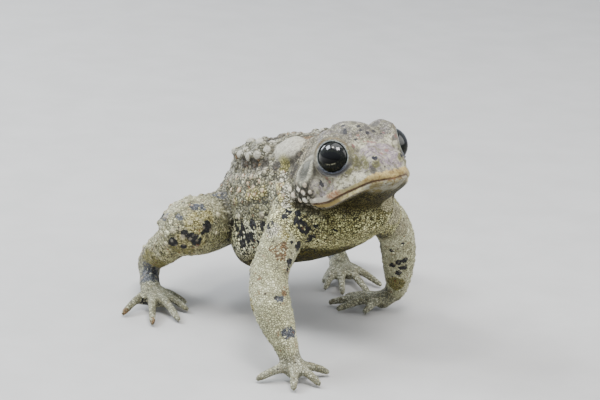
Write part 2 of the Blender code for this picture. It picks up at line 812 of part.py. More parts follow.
def flood(mesh):
    """The vertices of each separate body, largest body first."""
    left, parts = set(mesh.verts), []
    while left:
        seed = left.pop()
        found, waiting = {seed}, [seed]
        while waiting:
            for edge in waiting.pop().link_edges:
                for vertex in edge.verts:
                    if vertex not in found:
                        found.add(vertex)
                        waiting.append(vertex)
        left -= found
        parts.append(found)
    parts.sort(key=len, reverse=True)
    return parts


def loose_parts(skin):
    """The separate closed bodies of the cut skin, largest first."""
    mesh = bmesh.new()
    mesh.from_mesh(skin.data)
    bodies = []
    for found in flood(mesh):
        body = mesh.copy()
        chosen = {vertex.index for vertex in found}
        body.verts.ensure_lookup_table()
        bmesh.ops.delete(body, geom=[v for v in body.verts if v.index not in chosen], context="VERTS")
        bodies.append(body)
    mesh.free()
    return bodies


def part_with(skin, tools):
    """Cuts the skin with every tool, and names each one that doesn't go right through."""
    short = []
    before = count_bodies(skin)
    for tool in tools:
        combine(skin, tool, "DIFFERENCE")
        after = count_bodies(skin)
        if after != before + 1:
            short.append(f"{tool.name} {before} to {after}")
        before = after
    if short:
        raise ValueError("cuts that don't part the skin: " + ", ".join(short))


def node_seeds():
    """A point near the middle of each named piece."""
    seeds = {
        "head": HEAD_FRAME @ Vector((0, 3, -2)),
        "jaw": HEAD_FRAME @ Vector((0, -2, -12)),
        "torso": TRUNK_FRAME @ Vector((0, 22, 2)),
    }
    for side in ("right", "left"):
        arm, thigh, shin, tarsus = (rows[side] for rows in (ARMS, THIGHS, SHINS, TARSI))
        seeds[f"upper_arm_{side}"] = toward(arm[2][0], arm[3][0], 0.6)
        seeds[f"forearm_{side}"] = toward(arm[5][0], arm[6][0], 0.0)
        seeds[f"hand_{side}"] = Vector(HANDS[side][0])
        seeds[f"thigh_{side}"] = toward(thigh[3][0], thigh[4][0], 0.0)
        seeds[f"shin_{side}"] = toward(shin[2][0], shin[3][0], 0.0)
        seeds[f"tarsus_{side}"] = toward(tarsus[0][0], tarsus[1][0], 0.9)
        seeds[f"foot_{side}"] = toward(FEET[side][0], (*FEET[side][1][2], 1.0), 0.5)
    return seeds


def middle_of(body):
    return sum((vertex.co for vertex in body.verts), Vector()) / len(body.verts)


def make_nodes(skin):
    """One object for each loose part that is the nearest to a seed; scraps are dropped."""
    bodies = loose_parts(skin)
    nodes = {}
    for name, seed in node_seeds().items():
        best = min(bodies, key=lambda body: (middle_of(body) - seed).length)
        bodies.remove(best)
        nodes[name] = object_of(best, name)
    for scrap in bodies:
        scrap.free()
    return nodes


def ear_disc(side, grow):
    """The ear drum: a thin oval lens let into the side of the head."""
    out = Vector((side * 0.9, 0.12, 0.34)).normalized()
    turn = rotation_only(HEAD_FRAME) @ out.to_track_quat("Z", "Y").to_matrix().to_4x4()
    centre = HEAD_FRAME @ Vector((side * EAR_SIDE, EAR_BACK, EAR_UP))
    return ball(centre, (EAR_HALF[0] + grow, EAR_HALF[1] + grow, 1.0 + grow), turn, levels=3)


def gland(side, grow):
    """A parotoid gland: a long smooth pad on the shoulder, behind the eye."""
    turn = rotation_only(TRUNK_FRAME) @ Matrix.Rotation(math.radians(side * GLAND_SWING), 4, "Z")
    turn = turn @ Matrix.Rotation(math.radians(side * GLAND_TILT), 4, "Y")
    at = Vector((side * GLAND_AT[0], GLAND_AT[1], GLAND_AT[2]))
    return ball(TRUNK_FRAME @ at, tuple(half + grow for half in GLAND_HALF), turn, levels=3)


def set_in(nodes, name, hosts, solid, pocket):
    """Puts a piece into a pocket, a thin gap larger than itself, in its hosts."""
    tool = helper(pocket, f"pocket_{name}")
    for host in hosts:
        combine(nodes[host], tool, "DIFFERENCE")
    nodes[name] = object_of(solid, name)


def open_nostrils(head):
    """Two shallow oval pits on the end of the snout."""
    tree = BVHTree.FromObject(head, bpy.context.evaluated_depsgraph_get())
    for side in (-1, 1):
        start = HEAD_FRAME @ Vector((side * 5.0, -11.5, 1.6))
        end = HEAD_FRAME @ Vector((side * 1.7, -6.6, -3.8))
        place = tree.ray_cast(start, (end - start).normalized())[0]
        turn = (end - start).to_track_quat("Z", "Y").to_matrix().to_4x4()
        pit = helper(ball(place, (0.42, 0.62, 0.7), turn, levels=2), f"nostril_{side}")
        combine(head, pit, "DIFFERENCE")


def keep_largest(thing):
    bodies = loose_parts(thing)
    best = max(bodies, key=lambda body: abs(body.calc_volume()))
    best.to_mesh(thing.data)
    for body in bodies:
        body.free()


def give_material(thing, slot):
    colour, roughness = MATERIALS[slot]
    found = bpy.data.materials.get(slot) or bpy.data.materials.new(slot)
    found.use_nodes = True
    shader = found.node_tree.nodes["Principled BSDF"]
    shader.inputs["Base Color"].default_value = (*colour, 1.0)
    shader.inputs["Roughness"].default_value = roughness
    shader.inputs["Metallic"].default_value = 0.0
    thing.data.materials.clear()
    thing.data.materials.append(found)


def centre_on_floor(nodes):
    """Moves the model so that its box stands centred on the origin, and turns it into metres."""
    corners = np.vstack([coordinates(thing) for thing in nodes.values()])
    low, high = corners.min(0), corners.max(0)
    shift = Matrix.Translation((-(low[0] + high[0]) / 2, -(low[1] + high[1]) / 2, -low[2]))
    for thing in nodes.values():
        thing.data.transform(Matrix.Scale(METRES, 4) @ shift)
        thing.data.update()


def main():
    clear_scene()
    skin = fused_skin()
    store(skin, shape_head(coordinates(skin), normals(skin)))
    store(skin, shape_trunk(coordinates(skin), normals(skin)))
    tree = BVHTree.FromObject(skin, bpy.context.evaluated_depsgraph_get())
    raise_warts(skin, wart_spots(tree))
    soften(skin, None, 1)
    thin_out(skin)
    points = coordinates(skin)
    points[:, 2] = np.maximum(points[:, 2], 0.0)
    store(skin, points)
    part_with(skin, cutters())
    nodes = make_nodes(skin)
    bpy.data.objects.remove(skin)
    for side, name in ((-1, "right"), (1, "left")):
        eye = HEAD_FRAME @ eye_centre(side)
        ball_of = [ball(eye, (EYE_RADIUS + grow,) * 3, levels=3) for grow in (0.0, CUT)]
        set_in(nodes, f"eye_{name}", ("head",), *ball_of)
        set_in(nodes, f"ear_drum_{name}", ("head",), ear_disc(side, 0.0), ear_disc(side, CUT))
        set_in(nodes, f"gland_{name}", ("head", "torso"), gland(side, 0.0), gland(side, CUT))
    open_nostrils(nodes["head"])
    for host in ("head", "torso"):
        keep_largest(nodes[host])
    for name, thing in nodes.items():
        slot = next((kind for kind in MATERIALS if name.startswith(kind)), "skin")
        give_material(thing, slot)
        thing.data.shade_smooth()
    centre_on_floor(nodes)
    for tool in [thing for thing in bpy.data.objects if thing.hide_render]:
        bpy.data.objects.remove(tool)


main()
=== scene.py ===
import math
import random

import bmesh
import bpy
import numpy as np
from mathutils import Matrix, Vector, noise
from mathutils.kdtree import KDTree


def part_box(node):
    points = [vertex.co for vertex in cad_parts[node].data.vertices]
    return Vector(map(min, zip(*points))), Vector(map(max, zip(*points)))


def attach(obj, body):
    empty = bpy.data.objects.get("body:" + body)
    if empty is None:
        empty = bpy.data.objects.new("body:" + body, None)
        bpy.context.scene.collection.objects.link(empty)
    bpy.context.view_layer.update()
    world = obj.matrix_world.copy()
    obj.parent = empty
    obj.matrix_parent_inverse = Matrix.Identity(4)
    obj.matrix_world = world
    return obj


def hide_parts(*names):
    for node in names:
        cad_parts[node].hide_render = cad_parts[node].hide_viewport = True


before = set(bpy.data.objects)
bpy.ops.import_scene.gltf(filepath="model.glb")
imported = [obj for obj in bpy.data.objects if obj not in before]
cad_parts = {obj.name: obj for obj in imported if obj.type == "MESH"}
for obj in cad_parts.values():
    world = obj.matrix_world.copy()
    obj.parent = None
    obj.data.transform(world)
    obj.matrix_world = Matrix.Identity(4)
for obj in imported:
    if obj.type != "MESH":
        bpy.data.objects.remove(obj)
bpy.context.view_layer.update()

MM = 0.001

# How the solids were placed: where the head and the trunk sit, in millimetres, nose up and rolled
HEAD_AT, HEAD_PITCH, HEAD_ROLL = (-0.5, -10.8, 52.4), 14.0, -4.5
TRUNK_AT, TRUNK_PITCH, TRUNK_ROLL = (0.3, 1.0, 34.0), 17.0, -2.0
EYE_SIDE, EYE_BACK, EYE_UP = 7.8, 1.0, -0.5
EYE_RADIUS = 4.5
EYE_TURN = 56.0
# The eye's pattern lies on a sheet so wide; half the pupil's width and height, all in millimetres
EYE_SHEET = 10
PUPIL_WIDE, PUPIL_TALL = 2.45, 1.40
# The ball is a little smaller than its solid, and its front stands out by this share of the radius
BALL_SHARE, CORNEA_BULGE = 0.995, 0.02

# The ear drum's oval in the head's frame: its middle, the ways of its length and width, and their halves
EAR_AT, EAR_LONG, EAR_WIDE = (13.1, 7.6, -2.9), (-0.435, 0.48, 0.757), (-0.21, -0.97, 0.05)
EAR_HALF_LONG, EAR_HALF_WIDE = 2.7, 1.65

# How finely the skin is made, in millimetres
WEAVE = 0.51
SEAM = 0.17

# The eyelids' edge: how far it is from the line of sight, in millimetres
LID_AT = 3.95
LOWER_LID_RAISED = 1.13

# Where the nostrils open, in the head's frame, and how deep the pit is, in millimetres
NOSTRIL_SIDE, NOSTRIL_BACK, NOSTRIL_UP = 3.8, -9.2, -1.3
PIT_SIDE, PIT_BACK, PIT_UP, PIT_RADIUS, PIT_DEPTH = 3.5, -9.1, -1.4, 0.6, 0.3

# How often the skin is smoothed: over its facets, down to its broad shape, and to find its hollows
FACET_ROUNDS, BROAD_ROUNDS, HOLLOW_ROUNDS = 7, 55, 12

# How many of the highest points, and then of all points in a drawn order, are tried for a wart
HIGH_POINTS_TRIED, POINTS_TRIED = 9000, 40000

# How far the floor lies below the hands and feet, in millimetres, and what the lamps aim at, in metres
FLOOR_GAP = 0.3
TOAD_MIDDLE = (0, 0, 0.03)


def body_frame(at, pitch, roll):
    turn = Matrix.Rotation(math.radians(-pitch), 4, "X") @ Matrix.Rotation(math.radians(roll), 4, "Y")
    return Matrix.Translation(at) @ turn


HEAD = body_frame(HEAD_AT, HEAD_PITCH, HEAD_ROLL)
HEAD_UP = HEAD.to_3x3() @ Vector((0, 0, 1))
TRUNK = body_frame(TRUNK_AT, TRUNK_PITCH, TRUNK_ROLL)


def model_shift():
    """The model stands centred on the floor: how far that moved it from where it was drawn."""
    low, high = (Vector(corner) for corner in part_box("eye_right"))
    drawn = HEAD @ Vector((-EYE_SIDE, EYE_BACK, EYE_UP))
    return (low + high) / 2 / MM - drawn


SHIFT = model_shift()


def blend_in(distance):
    """1 at the middle and 0 from distance 1 on, smooth at both ends."""
    near = np.clip(1 - np.asarray(distance) ** 2, 0, 1)
    return near**2 * (3 - 2 * near)


def step(low, high, value):
    """0 below low, 1 above high, and smooth between."""
    share = np.clip((value - low) / (high - low), 0, 1)
    return share**2 * (3 - 2 * share)


def inside(points, matrix):
    """Points of the model in the coordinates of the head or the trunk."""
    turned = np.array(matrix.inverted())
    return (points - np.array(SHIFT)) @ turned[:3, :3].T + turned[:3, 3]


def placed(point, matrix=None):
    """Where a drawn point is in the model, in millimetres."""
    return (matrix @ Vector(point) if matrix else Vector(point)) + SHIFT


def along(points, line):
    """How far each point is from a line of joined stretches."""
    best = np.full(len(points), 1e9)
    for start, end in zip(line[:-1], line[1:]):
        start, end = np.array(start, float), np.array(end, float)
        span = end - start
        share = np.clip((points - start) @ span / (span @ span), 0, 1)
        best = np.minimum(best, np.linalg.norm(points - start - share[:, None] * span, axis=1))
    return best


class Hide:
    """The skin's points, normals and neighbours, in millimetres, kept in step with its mesh."""

    def __init__(self, thing):
        self.thing = thing
        self.read()

    def read(self):
        mesh = self.thing.data
        count = len(mesh.vertices)
        flat = np.empty(count * 3, np.float32)
        mesh.vertices.foreach_get("co", flat)
        self.points = flat.reshape(-1, 3).astype(float) / MM
        mesh.vertices.foreach_get("normal", flat)
        self.out = flat.reshape(-1, 3).astype(float)
        edges = np.empty(len(mesh.edges) * 2, np.int32)
        mesh.edges.foreach_get("vertices", edges)
        self.edges = edges.reshape(-1, 2)
        self.valence = np.bincount(self.edges.ravel(), minlength=count)[:, None].astype(float)

    def write(self):
        self.thing.data.vertices.foreach_set("co", (self.points * MM).astype(np.float32).ravel())
        self.thing.data.update()
        self.read()

    def push(self, amount):
        self.points = self.points + self.out * np.asarray(amount)[:, None]
        self.write()

    def averaged(self, points):
        one, two = self.edges.T
        total = np.zeros_like(points)
        for axis in range(points.shape[1]):
            total[:, axis] += np.bincount(one, points[two, axis], len(points))
            total[:, axis] += np.bincount(two, points[one, axis], len(points))
        return total / np.maximum(self.valence, 1)

    def relaxed(self, times, share=0.5, weights=1.0):
        points = self.points
        for _ in range(times):
            points = points + (self.averaged(points) - points) * share * weights
        return points

    def spread(self, values, times):
        """A mask softened over its neighbours."""
        values = np.asarray(values, float)[:, None]
        for _ in range(times):
            values = 0.5 * values + 0.5 * self.averaged(values)
        return values[:, 0]

    def mask(self, name, values):
        layer = self.thing.data.attributes.new(name, "FLOAT", "POINT")
        layer.data.foreach_set("value", np.asarray(values, np.float32))


def new_object(mesh, name, material=None):
    data = bpy.data.meshes.new(name)
    mesh.to_mesh(data)
    mesh.free()
    thing = bpy.data.objects.new(name, data)
    bpy.context.scene.collection.objects.link(thing)
    if material:
        data.materials.append(material)
    data.shade_smooth()
    return thing


def settle(thing):
    """Turns the object's modifiers into its mesh."""
    bpy.context.view_layer.update()
    graph = bpy.context.evaluated_depsgraph_get()
    done = bpy.data.meshes.new_from_object(thing.evaluated_get(graph))
    thing.modifiers.clear()
    thing.data = done
    done.shade_smooth()


FLESH = [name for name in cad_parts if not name.startswith("eye_")]


def closed_hide():
    """The pieces of flesh, each grown over its seams and fused into one skin, which is shrunk back after it
    is refined.
    """
    whole = bmesh.new()
    for name in FLESH:
        piece = bmesh.new()
        piece.from_mesh(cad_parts[name].data)
        bmesh.ops.remove_doubles(piece, verts=piece.verts, dist=1e-6)
        piece.normal_update()
        for vertex in piece.verts:
            vertex.co += vertex.normal * SEAM * MM
        copy = bpy.data.meshes.new("piece")
        piece.to_mesh(copy)
        piece.free()
        whole.from_mesh(copy)
        bpy.data.meshes.remove(copy)
    skin = new_object(whole, "toad_skin")
    fuse = skin.modifiers.new("fuse", "REMESH")
    fuse.mode = "VOXEL"
    fuse.voxel_size = WEAVE * MM
    fuse.use_smooth_shade = True
    settle(skin)
    return skin


def largest_only(skin):
    """Drops what the fusing leaves inside: everything but the biggest closed surface."""
    mesh = bmesh.new()
    mesh.from_mesh(skin.data)
    left, best = set(mesh.verts), set()
    while left:
        seed = left.pop()
        found, waiting = {seed}, [seed]
        while waiting:
            for edge in waiting.pop().link_edges:
                for vertex in edge.verts:
                    if vertex not in found:
                        found.add(vertex)
                        waiting.append(vertex)
        left -= found
        if len(found) > len(best):
            best = found
    bmesh.ops.delete(mesh, geom=[v for v in mesh.verts if v not in best], context="VERTS")
    mesh.to_mesh(skin.data)
    mesh.free()


skin = closed_hide()
largest_only(skin)


def tree_of(points):
    """The points, ready for a search of the nearest."""
    tree = KDTree(len(points))
    for index, point in enumerate(points):
        tree.insert(point, index)
    tree.balance()
    return tree


def source_tags(points):
    """Which piece of flesh each point of the skin lies on."""
    spots, owner = [], []
    for name in FLESH:
        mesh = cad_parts[name].data
        flat = np.empty(len(mesh.vertices) * 3, np.float32)
        mesh.vertices.foreach_get("co", flat)
        fresh = np.unique(np.round(flat.reshape(-1, 3) / MM, 3), axis=0)
        spots.append(fresh)
        owner += [FLESH.index(name)] * len(fresh)
    near = tree_of(np.concatenate(spots))
    return np.array([owner[near.find(point)[1]] for point in points])


def eye_axes(side):
    """The line of sight, the way across it and the way up from it."""
    turn = math.radians(EYE_TURN)
    gaze = Vector((side * math.sin(turn), -math.cos(turn), 0.1)).normalized()
    gaze = (HEAD.to_3x3() @ gaze).normalized()
    across = gaze.cross(HEAD_UP).normalized()
    return gaze, across, across.cross(gaze)


def eye_centre(side):
    return placed((side * EYE_SIDE, EYE_BACK, EYE_UP), HEAD)


def eye_reach(points, side):
    """How far from the line of sight, stretched below it, how far out along it, and the way there."""
    offset = points - np.array(eye_centre(side))
    ahead, aside, rise = (offset @ np.array(axis) for axis in eye_axes(side))
    rise = np.where(rise < 0, rise * LOWER_LID_RAISED, rise)
    return np.hypot(rise, aside), ahead, offset


def nostril_reach(local, side):
    """How far each point of the head is from the nostril."""
    return np.linalg.norm(local - (side * NOSTRIL_SIDE, NOSTRIL_BACK, NOSTRIL_UP), axis=1)


def mouth_gap(local):
    """Height above the line of the mouth, in head coordinates."""
    run = local[:, 1] + 10.9
    front = np.clip(1 - run / 3.2, 0, 1)
    corner = np.clip(local[:, 1] - 2.0, 0, None)
    return local[:, 2] - (-6.0 - 0.385 * run + 0.001 * run**2 - 0.95 * front**2 + 0.05 * corner**2)


def face_middles(mesh):
    return np.array([face.calc_center_median() for face in mesh.faces]) / MM


def split_faces(mesh, indices):
    """Halves every edge of the faces with these numbers."""
    mesh.faces.ensure_lookup_table()
    edges = {edge for index in indices for edge in mesh.faces[index].edges}
    bmesh.ops.subdivide_edges(mesh, edges=list(edges), cuts=1, use_grid_fill=True)


def refine(skin):
    """A finer weave round the eyes and along the mouth."""
    mesh = bmesh.new()
    mesh.from_mesh(skin.data)
    middles = face_middles(mesh)
    facing = np.array([face.normal for face in mesh.faces])
    local = inside(middles, HEAD)
    wanted = (np.abs(mouth_gap(local)) < 2.0) & (local[:, 1] < 7.0) & (local[:, 2] < -4)
    for side in (-1, 1):
        apart, ahead, offset = eye_reach(middles, side)
        wanted |= (apart < 5.8) & (ahead > 0.5) & ((facing * offset).sum(1) > -1.0)
        wanted |= nostril_reach(local, side) < 1.6
    split_faces(mesh, np.flatnonzero(wanted))
    rim = []
    for side in (-1, 1):
        apart, ahead, _ = eye_reach(face_middles(mesh), side)
        rim += list(np.flatnonzero((np.abs(apart - LID_AT) < 0.4) & (ahead > 1.9)))
    split_faces(mesh, rim)
    mesh.to_mesh(skin.data)
    mesh.free()
    skin.data.shade_smooth()


refine(skin)
hide = Hide(skin)
hide.push(np.full(len(hide.points), -SEAM))
tags = source_tags(hide.points)


def part(*words):
    """1 on the pieces whose names begin so."""
    chosen = [index for index, name in enumerate(FLESH) if name.startswith(words)]
    return np.isin(tags, chosen).astype(float)


def face_detail(points):
    """1 where the lips, lids and nostrils are, which are smoothed least."""
    local = inside(points, HEAD)
    keep = blend_in(mouth_gap(local) / 3.0) * step(7.5, 5.0, local[:, 1]) * (local[:, 2] < -2)
    for side in (-1, 1):
        apart, ahead, _ = eye_reach(points, side)
        keep = np.maximum(keep, blend_in(np.maximum(apart - 4.0, 0) / 2.5) * (ahead > 0))
        keep = np.maximum(keep, blend_in(nostril_reach(local, side) / 2.0))
    return keep


def close_lids():
    """Lays the lids on the eyeballs, with an even round edge."""
    for side in (-1, 1):
        apart, ahead, offset = eye_reach(hide.points, side)
        far = np.linalg.norm(offset, axis=1)
        facing = np.einsum("ij,ij->i", hide.out, offset) / far
        front = (ahead > 0.9) & (far < 7.0) & (apart < 5.6)
        inner = front & (facing < -0.2) & (far < 5.4)
        hide.points[inner] -= offset[inner] * (1 - (EYE_RADIUS - 0.2) / far[inner])[:, None]
        outer = front & ~inner
        true = np.sqrt(np.maximum(far**2 - ahead**2, 0)) / np.maximum(apart, 0.1)
        edge = np.sqrt(EYE_RADIUS**2 - (LID_AT * true) ** 2) + 0.5
        slope = np.where(apart > LID_AT, 0.42 * (apart - LID_AT), 2.0 * (LID_AT - apart))
        share = outer * step(5.3, 4.3, apart)
        shift = (edge - slope - ahead) * share
        hide.points += np.array(eye_axes(side)[0]) * shift[:, None]
    hide.write()


# Facets and seams smoothed away, in pairs of steps that keep the volume
calm = 1 - 0.75 * face_detail(hide.points)
for _ in range(FACET_ROUNDS):
    hide.points = hide.relaxed(1, 0.55, calm[:, None])
    hide.points = hide.relaxed(1, -0.50, calm[:, None])
hide.points = hide.relaxed(2, 0.5, calm[:, None])
hide.write()
close_lids()
base = Hide(skin)
base.points = hide.relaxed(BROAD_ROUNDS, 0.6)
rise = np.einsum("ij,ij->i", hide.points - base.points, hide.out)


# The group of white warts behind the corner of the mouth: aside, back, height, radius, in the head's frame
CORNER_WARTS = (
    (14.5, 12.1, -9.1, 0.95), (15.0, 8.7, -7.4, 0.8), (14.7, 7.3, -8.3, 0.8), (14.2, 7.7, -10.1, 0.85),
    (13.9, 5.7, -8.2, 0.65), (14.4, 13.6, -7.3, 0.75), (14.6, 9.9, -10.2, 0.8), (14.9, 6.4, -6.4, 0.7),
)
# The smooth domes of the shelf on the back, and the tan warts in rows below it, as drawn points and radii
SHELF_DOMES = (
    (13.5, 25.9, 42.8, 1.25), (14.2, 20.4, 43.8, 1.25), (14.0, 16.5, 45.1, 1.2), (12.3, 15.2, 46.9, 1.1),
    (11.4, 20.4, 47.2, 1.2), (11.0, 25.0, 46.5, 1.25), (13.4, 23.2, 45.3, 0.9), (12.4, 31.1, 42.4, 1.1),
    (9.2, 29.2, 45.2, 1.1), (8.6, 22.6, 47.9, 1.0), (8.8, 17.4, 48.6, 1.0),
)
FLANK_WARTS = (
    (14.4, 25.3, 36.8, 0.75), (14.9, 21.6, 38.3, 0.8), (15.2, 16.9, 39.4, 0.85), (16.0, 17.3, 37.6, 0.7),
    (15.8, 15.0, 37.3, 0.75), (16.2, 21.2, 35.2, 0.9), (15.4, 12.7, 39.3, 0.7), (16.3, 16.2, 34.9, 0.7),
    (16.1, 13.2, 36.0, 0.65), (15.9, 10.3, 37.9, 0.7), (15.6, 23.9, 31.2, 0.8), (15.0, 8.1, 39.7, 0.6),
    (15.1, 3.4, 40.8, 0.6), (15.6, 1.0, 39.2, 0.65), (14.9, 6.1, 40.8, 0.55), (15.8, 27.0, 33.6, 0.7),
)


def wart_places():
    """The named warts, the highest points of the solids' own warts, and smaller ones scattered between."""
    draw = random.Random(7)
    points, trunk = hide.points, inside(hide.points, TRUNK)
    head = inside(points, HEAD)
    on_trunk, on_arm = part("torso"), part("upper_arm", "forearm")
    angle = np.degrees(np.arctan2(trunk[:, 2] - 2, np.abs(trunk[:, 0])))
    cheek = part("head", "jaw") * (head[:, 1] > 5.6) * (head[:, 2] < -5.5) * (head[:, 2] > -13)
    nape = part("head") * (head[:, 1] > 9.5) * (head[:, 2] > -1)
    plain = part("head", "jaw", "gland", "ear", "hand", "foot") * (1 - cheek) * (1 - nape)
    plain += points[:, 2] < 3
    near = tree_of(points)
    found, room = [], np.full(len(points), 9.0)

    def add(index, radius, lift, tint=None):
        found.append((Vector(points[index]), radius, lift, tint))
        for _, other, away in near.find_range(points[index], radius + 1.6):
            room[other] = min(room[other], away - radius)

    for spots, lift, frame_of, tint in (
        (CORNER_WARTS, 0.55, HEAD, 0.25), (SHELF_DOMES, 0.42, None, 0.0), (FLANK_WARTS, 0.5, None, 0.9)
    ):
        for side in (-1, 1):
            for x, y, z, radius in spots:
                share = 1.15 if side < 0 else 1.05
                add(near.find(placed((side * x, y, z), frame_of))[1], radius * share, lift, tint)
    for index in np.argsort(-rise)[:HIGH_POINTS_TRIED]:
        if rise[index] < 0.2 or plain[index] or on_arm[index] or angle[index] * on_trunk[index] < -5:
            continue
        radius = draw.uniform(1.0, 1.4) if on_trunk[index] else draw.uniform(0.8, 1.1)
        if room[index] > radius * 0.8:
            add(index, radius, 0.24)
    order = list(range(len(points)))
    draw.shuffle(order)
    for index in order[:POINTS_TRIED]:
        if plain[index]:
            continue
        if cheek[index]:
            radius, lift = draw.uniform(0.55, 0.95), 0.42
        elif nape[index]:
            radius, lift = draw.uniform(0.4, 0.7), 0.25
        elif on_trunk[index]:
            high = float(step(-20, 45, angle[index]))
            radius, lift = draw.uniform(0.4, 0.55) + high * draw.uniform(0.05, 0.4), 0.3
            if angle[index] < -35 or draw.random() > 0.2 + 0.5 * high:
                continue
        elif on_arm[index]:
            radius, lift = draw.uniform(0.42, 0.62), 0.42
        else:
            radius, lift = draw.uniform(0.38, 0.75), 0.24
        if room[index] > radius * 0.9:
            add(index, radius, lift)
    return found, near


warts, near = wart_places()


def raised(spots, near, count):
    """For each point: the wart's height, how near its top and its edge, its size, tint and if named."""
    draw = random.Random(19)
    lift, top, edge, size, tint, named = (np.zeros(count) for _ in range(6))
    for place, radius, share_up, given in spots:
        shade = draw.random() if given is None else given
        for _, index, away in near.find_range(place, radius * 1.5):
            share = away / radius
            height = share_up * radius * max(1 - share**2, 0) ** 0.7
            if height > lift[index]:
                lift[index], tint[index] = height, shade
                size[index], named[index] = radius, given is not None
            top[index] = max(top[index], float(blend_in(share / 0.95)))
            edge[index] = max(edge[index], float(blend_in((share - 1.05) / 0.4)))
    return lift, top, edge * (1 - top), size, tint, named


lift, wart_top, wart_edge, wart_size, wart_tint, wart_named = raised(warts, near, len(hide.points))
hide.push(lift - 0.05 * wart_edge)

local = inside(hide.points, HEAD)
across, behind, above = local.T
trunk = inside(hide.points, TRUNK)
drawn = hide.points - np.array(SHIFT)
gap = mouth_gap(local)
angle = np.degrees(np.arctan2(trunk[:, 2] - 2, np.abs(trunk[:, 0])))
head_part = hide.spread(part("head", "jaw", "gland", "ear"), 5)
lips = step(7.6, 6.4, behind) * (above < -3.5) * step(0.3, 0.8, head_part)

# The mouth: a fine line, a rounded band above it and a narrow lip below
mouth = blend_in(gap / 0.36) * lips
at_front = step(-6.5, -9.5, behind)
wide = 0.75 * at_front + 0.45 * step(-3.5, -1.0, behind)
upper_lip = blend_in((gap - 0.5 - 0.66 * wide) / (0.7 + wide)) * lips
lower_lip = blend_in((gap + 0.68) / 0.55) * lips
mouth_run = np.clip((behind + 10.5) / 16, 0, 1)
under_lip = blend_in((gap + 1.75) / 0.6) * lips
hide.push(-0.2 * mouth + 0.05 * upper_lip + 0.12 * lower_lip - 0.1 * under_lip)

# The eyelids' bands round the opening: how far outside its edge each one's middle lies, and its half width;
# the band below the eye is painted shadow, and the fold is also darkened as painted shade in the furrow
LID_BANDS = (
    ("margin", -0.05, 0.36), ("lower_lid", 0.1, 0.62), ("brow_line", 0.75, 0.4), ("fold", 0.8, 0.45),
    ("eye_bag", 0.85, 0.7), ("outer_fold", 1.5, 0.6),
)
lids = {name: np.zeros(len(hide.points)) for name, _, _ in LID_BANDS}
# A thin black line on the lids' inner edge is painted shadow where the lids meet the eyeball
lid_rim = np.zeros(len(hide.points))
for side in (-1, 1):
    apart, ahead, offset = eye_reach(hide.points, side)
    front = step(0.6, 1.6, ahead)
    rise_by = offset @ np.array(HEAD_UP) / 4
    only = {
        "lower_lid": step(0.0, -0.75, rise_by),
        "brow_line": step(0.1, 0.8, rise_by),
        "eye_bag": step(0.0, -0.6, rise_by),
    }
    for name, away, width in LID_BANDS:
        band = blend_in((apart - LID_AT - away) / width) * front * only.get(name, 1)
        lids[name] = np.maximum(lids[name], band)
    lid_rim = np.maximum(lid_rim, step(LID_AT + 0.12, LID_AT - 0.1, apart) * step(0.2, 0.9, ahead))
hide.push(0.16 * lids.pop("outer_fold") - 0.16 * lids["fold"])
for side in (-1, 1):
    from_pit = inside(hide.points, HEAD) - (side * PIT_SIDE, PIT_BACK, PIT_UP)
    hide.push(-PIT_DEPTH * blend_in(np.linalg.norm(from_pit, axis=1) / PIT_RADIUS))

# Folds where the skin bends: drawn lines, how wide and how deep, in millimetres
UNDER_CHIN = [(-13.8, -3.0, 37.2), (-9.0, -8.6, 35.2), (0, -10.6, 34.6), (8, -9.4, 36.0)]
CREASES = [
    ([(-27.0, -15.0, 19.4), (-24.0, -16.6, 18.6), (-21.6, -14.0, 19.0)], 0.8, 0.35),
    ([(-27.6, -14.0, 22.2), (-24.6, -14.6, 21.6)], 0.7, 0.22),
    ([(-12.5, 3.0, 41.0), *UNDER_CHIN], 1.3, 0.5),
    ([(-15.8, 8.0, 37.0), (-16.6, 15.0, 33.0), (-15.6, 24.0, 29.0)], 1.0, 0.25),
    ([(-15.4, 5.0, 33.6), (-16.4, 12.0, 30.2), (-15.6, 21.0, 26.0)], 0.8, 0.18),
    ([(-28.6, 42.6, 9.5), (-27.4, 43.8, 8.6), (-25.6, 43.4, 8.8)], 0.9, 0.3),
]
crease = np.zeros(len(hide.points))
for line, width, depth in CREASES:
    for flip in (1, -1):
        mirrored = [(flip * x, y, z) for x, y, z in line]
        crease = np.maximum(crease, depth * blend_in(along(drawn, mirrored) / width))
hide.push(-crease)


def unevenness(point):
    """How much the skin rises or falls at a point by itself."""
    return noise.noise(point / 1.7) + 0.6 * noise.noise(point / 0.8)


roughness = np.array([unevenness(Vector(point)) for point in hide.points])
fine = (1 - 0.75 * head_part) * (1 - part("hand", "foot") * 0.6)
hide.push(roughness * 0.07 * fine)
hide.points[:, 2] = np.maximum(hide.points[:, 2], 0)
hide.write()

# How deep each point lies in a hollow, for the painted shade laid into the hollows
base = Hide(skin)
base.points = hide.relaxed(HOLLOW_ROUNDS, 0.6)
hollow = np.einsum("ij,ij->i", hide.points - base.points, hide.out)

# Where the colours lie
upward, high = hide.out[:, 2], drawn[:, 2]
torso, skull = part("torso"), part("head", "jaw")
shoulders = part("upper_arm") * step(34.5, 36.5, high)
arms = part("upper_arm", "forearm") - shoulders
legs, feet = part("thigh", "shin"), part("hand", "foot", "tarsus")
downward = step(0.3, -0.15, upward)
forward = step(-0.05, -0.5, hide.out[:, 1])
back = torso * step(22, 48, angle)
saddle = back * step(11.5, 9.0, np.abs(trunk[:, 0]))
saddle += legs * step(0.0, 0.3, upward) * np.maximum(step(-14, -8, drawn[:, 0]), step(34, 38, drawn[:, 1]))
saddle = np.maximum(saddle, (legs + arms) * step(0.15, 0.45, hide.out[:, 1]))
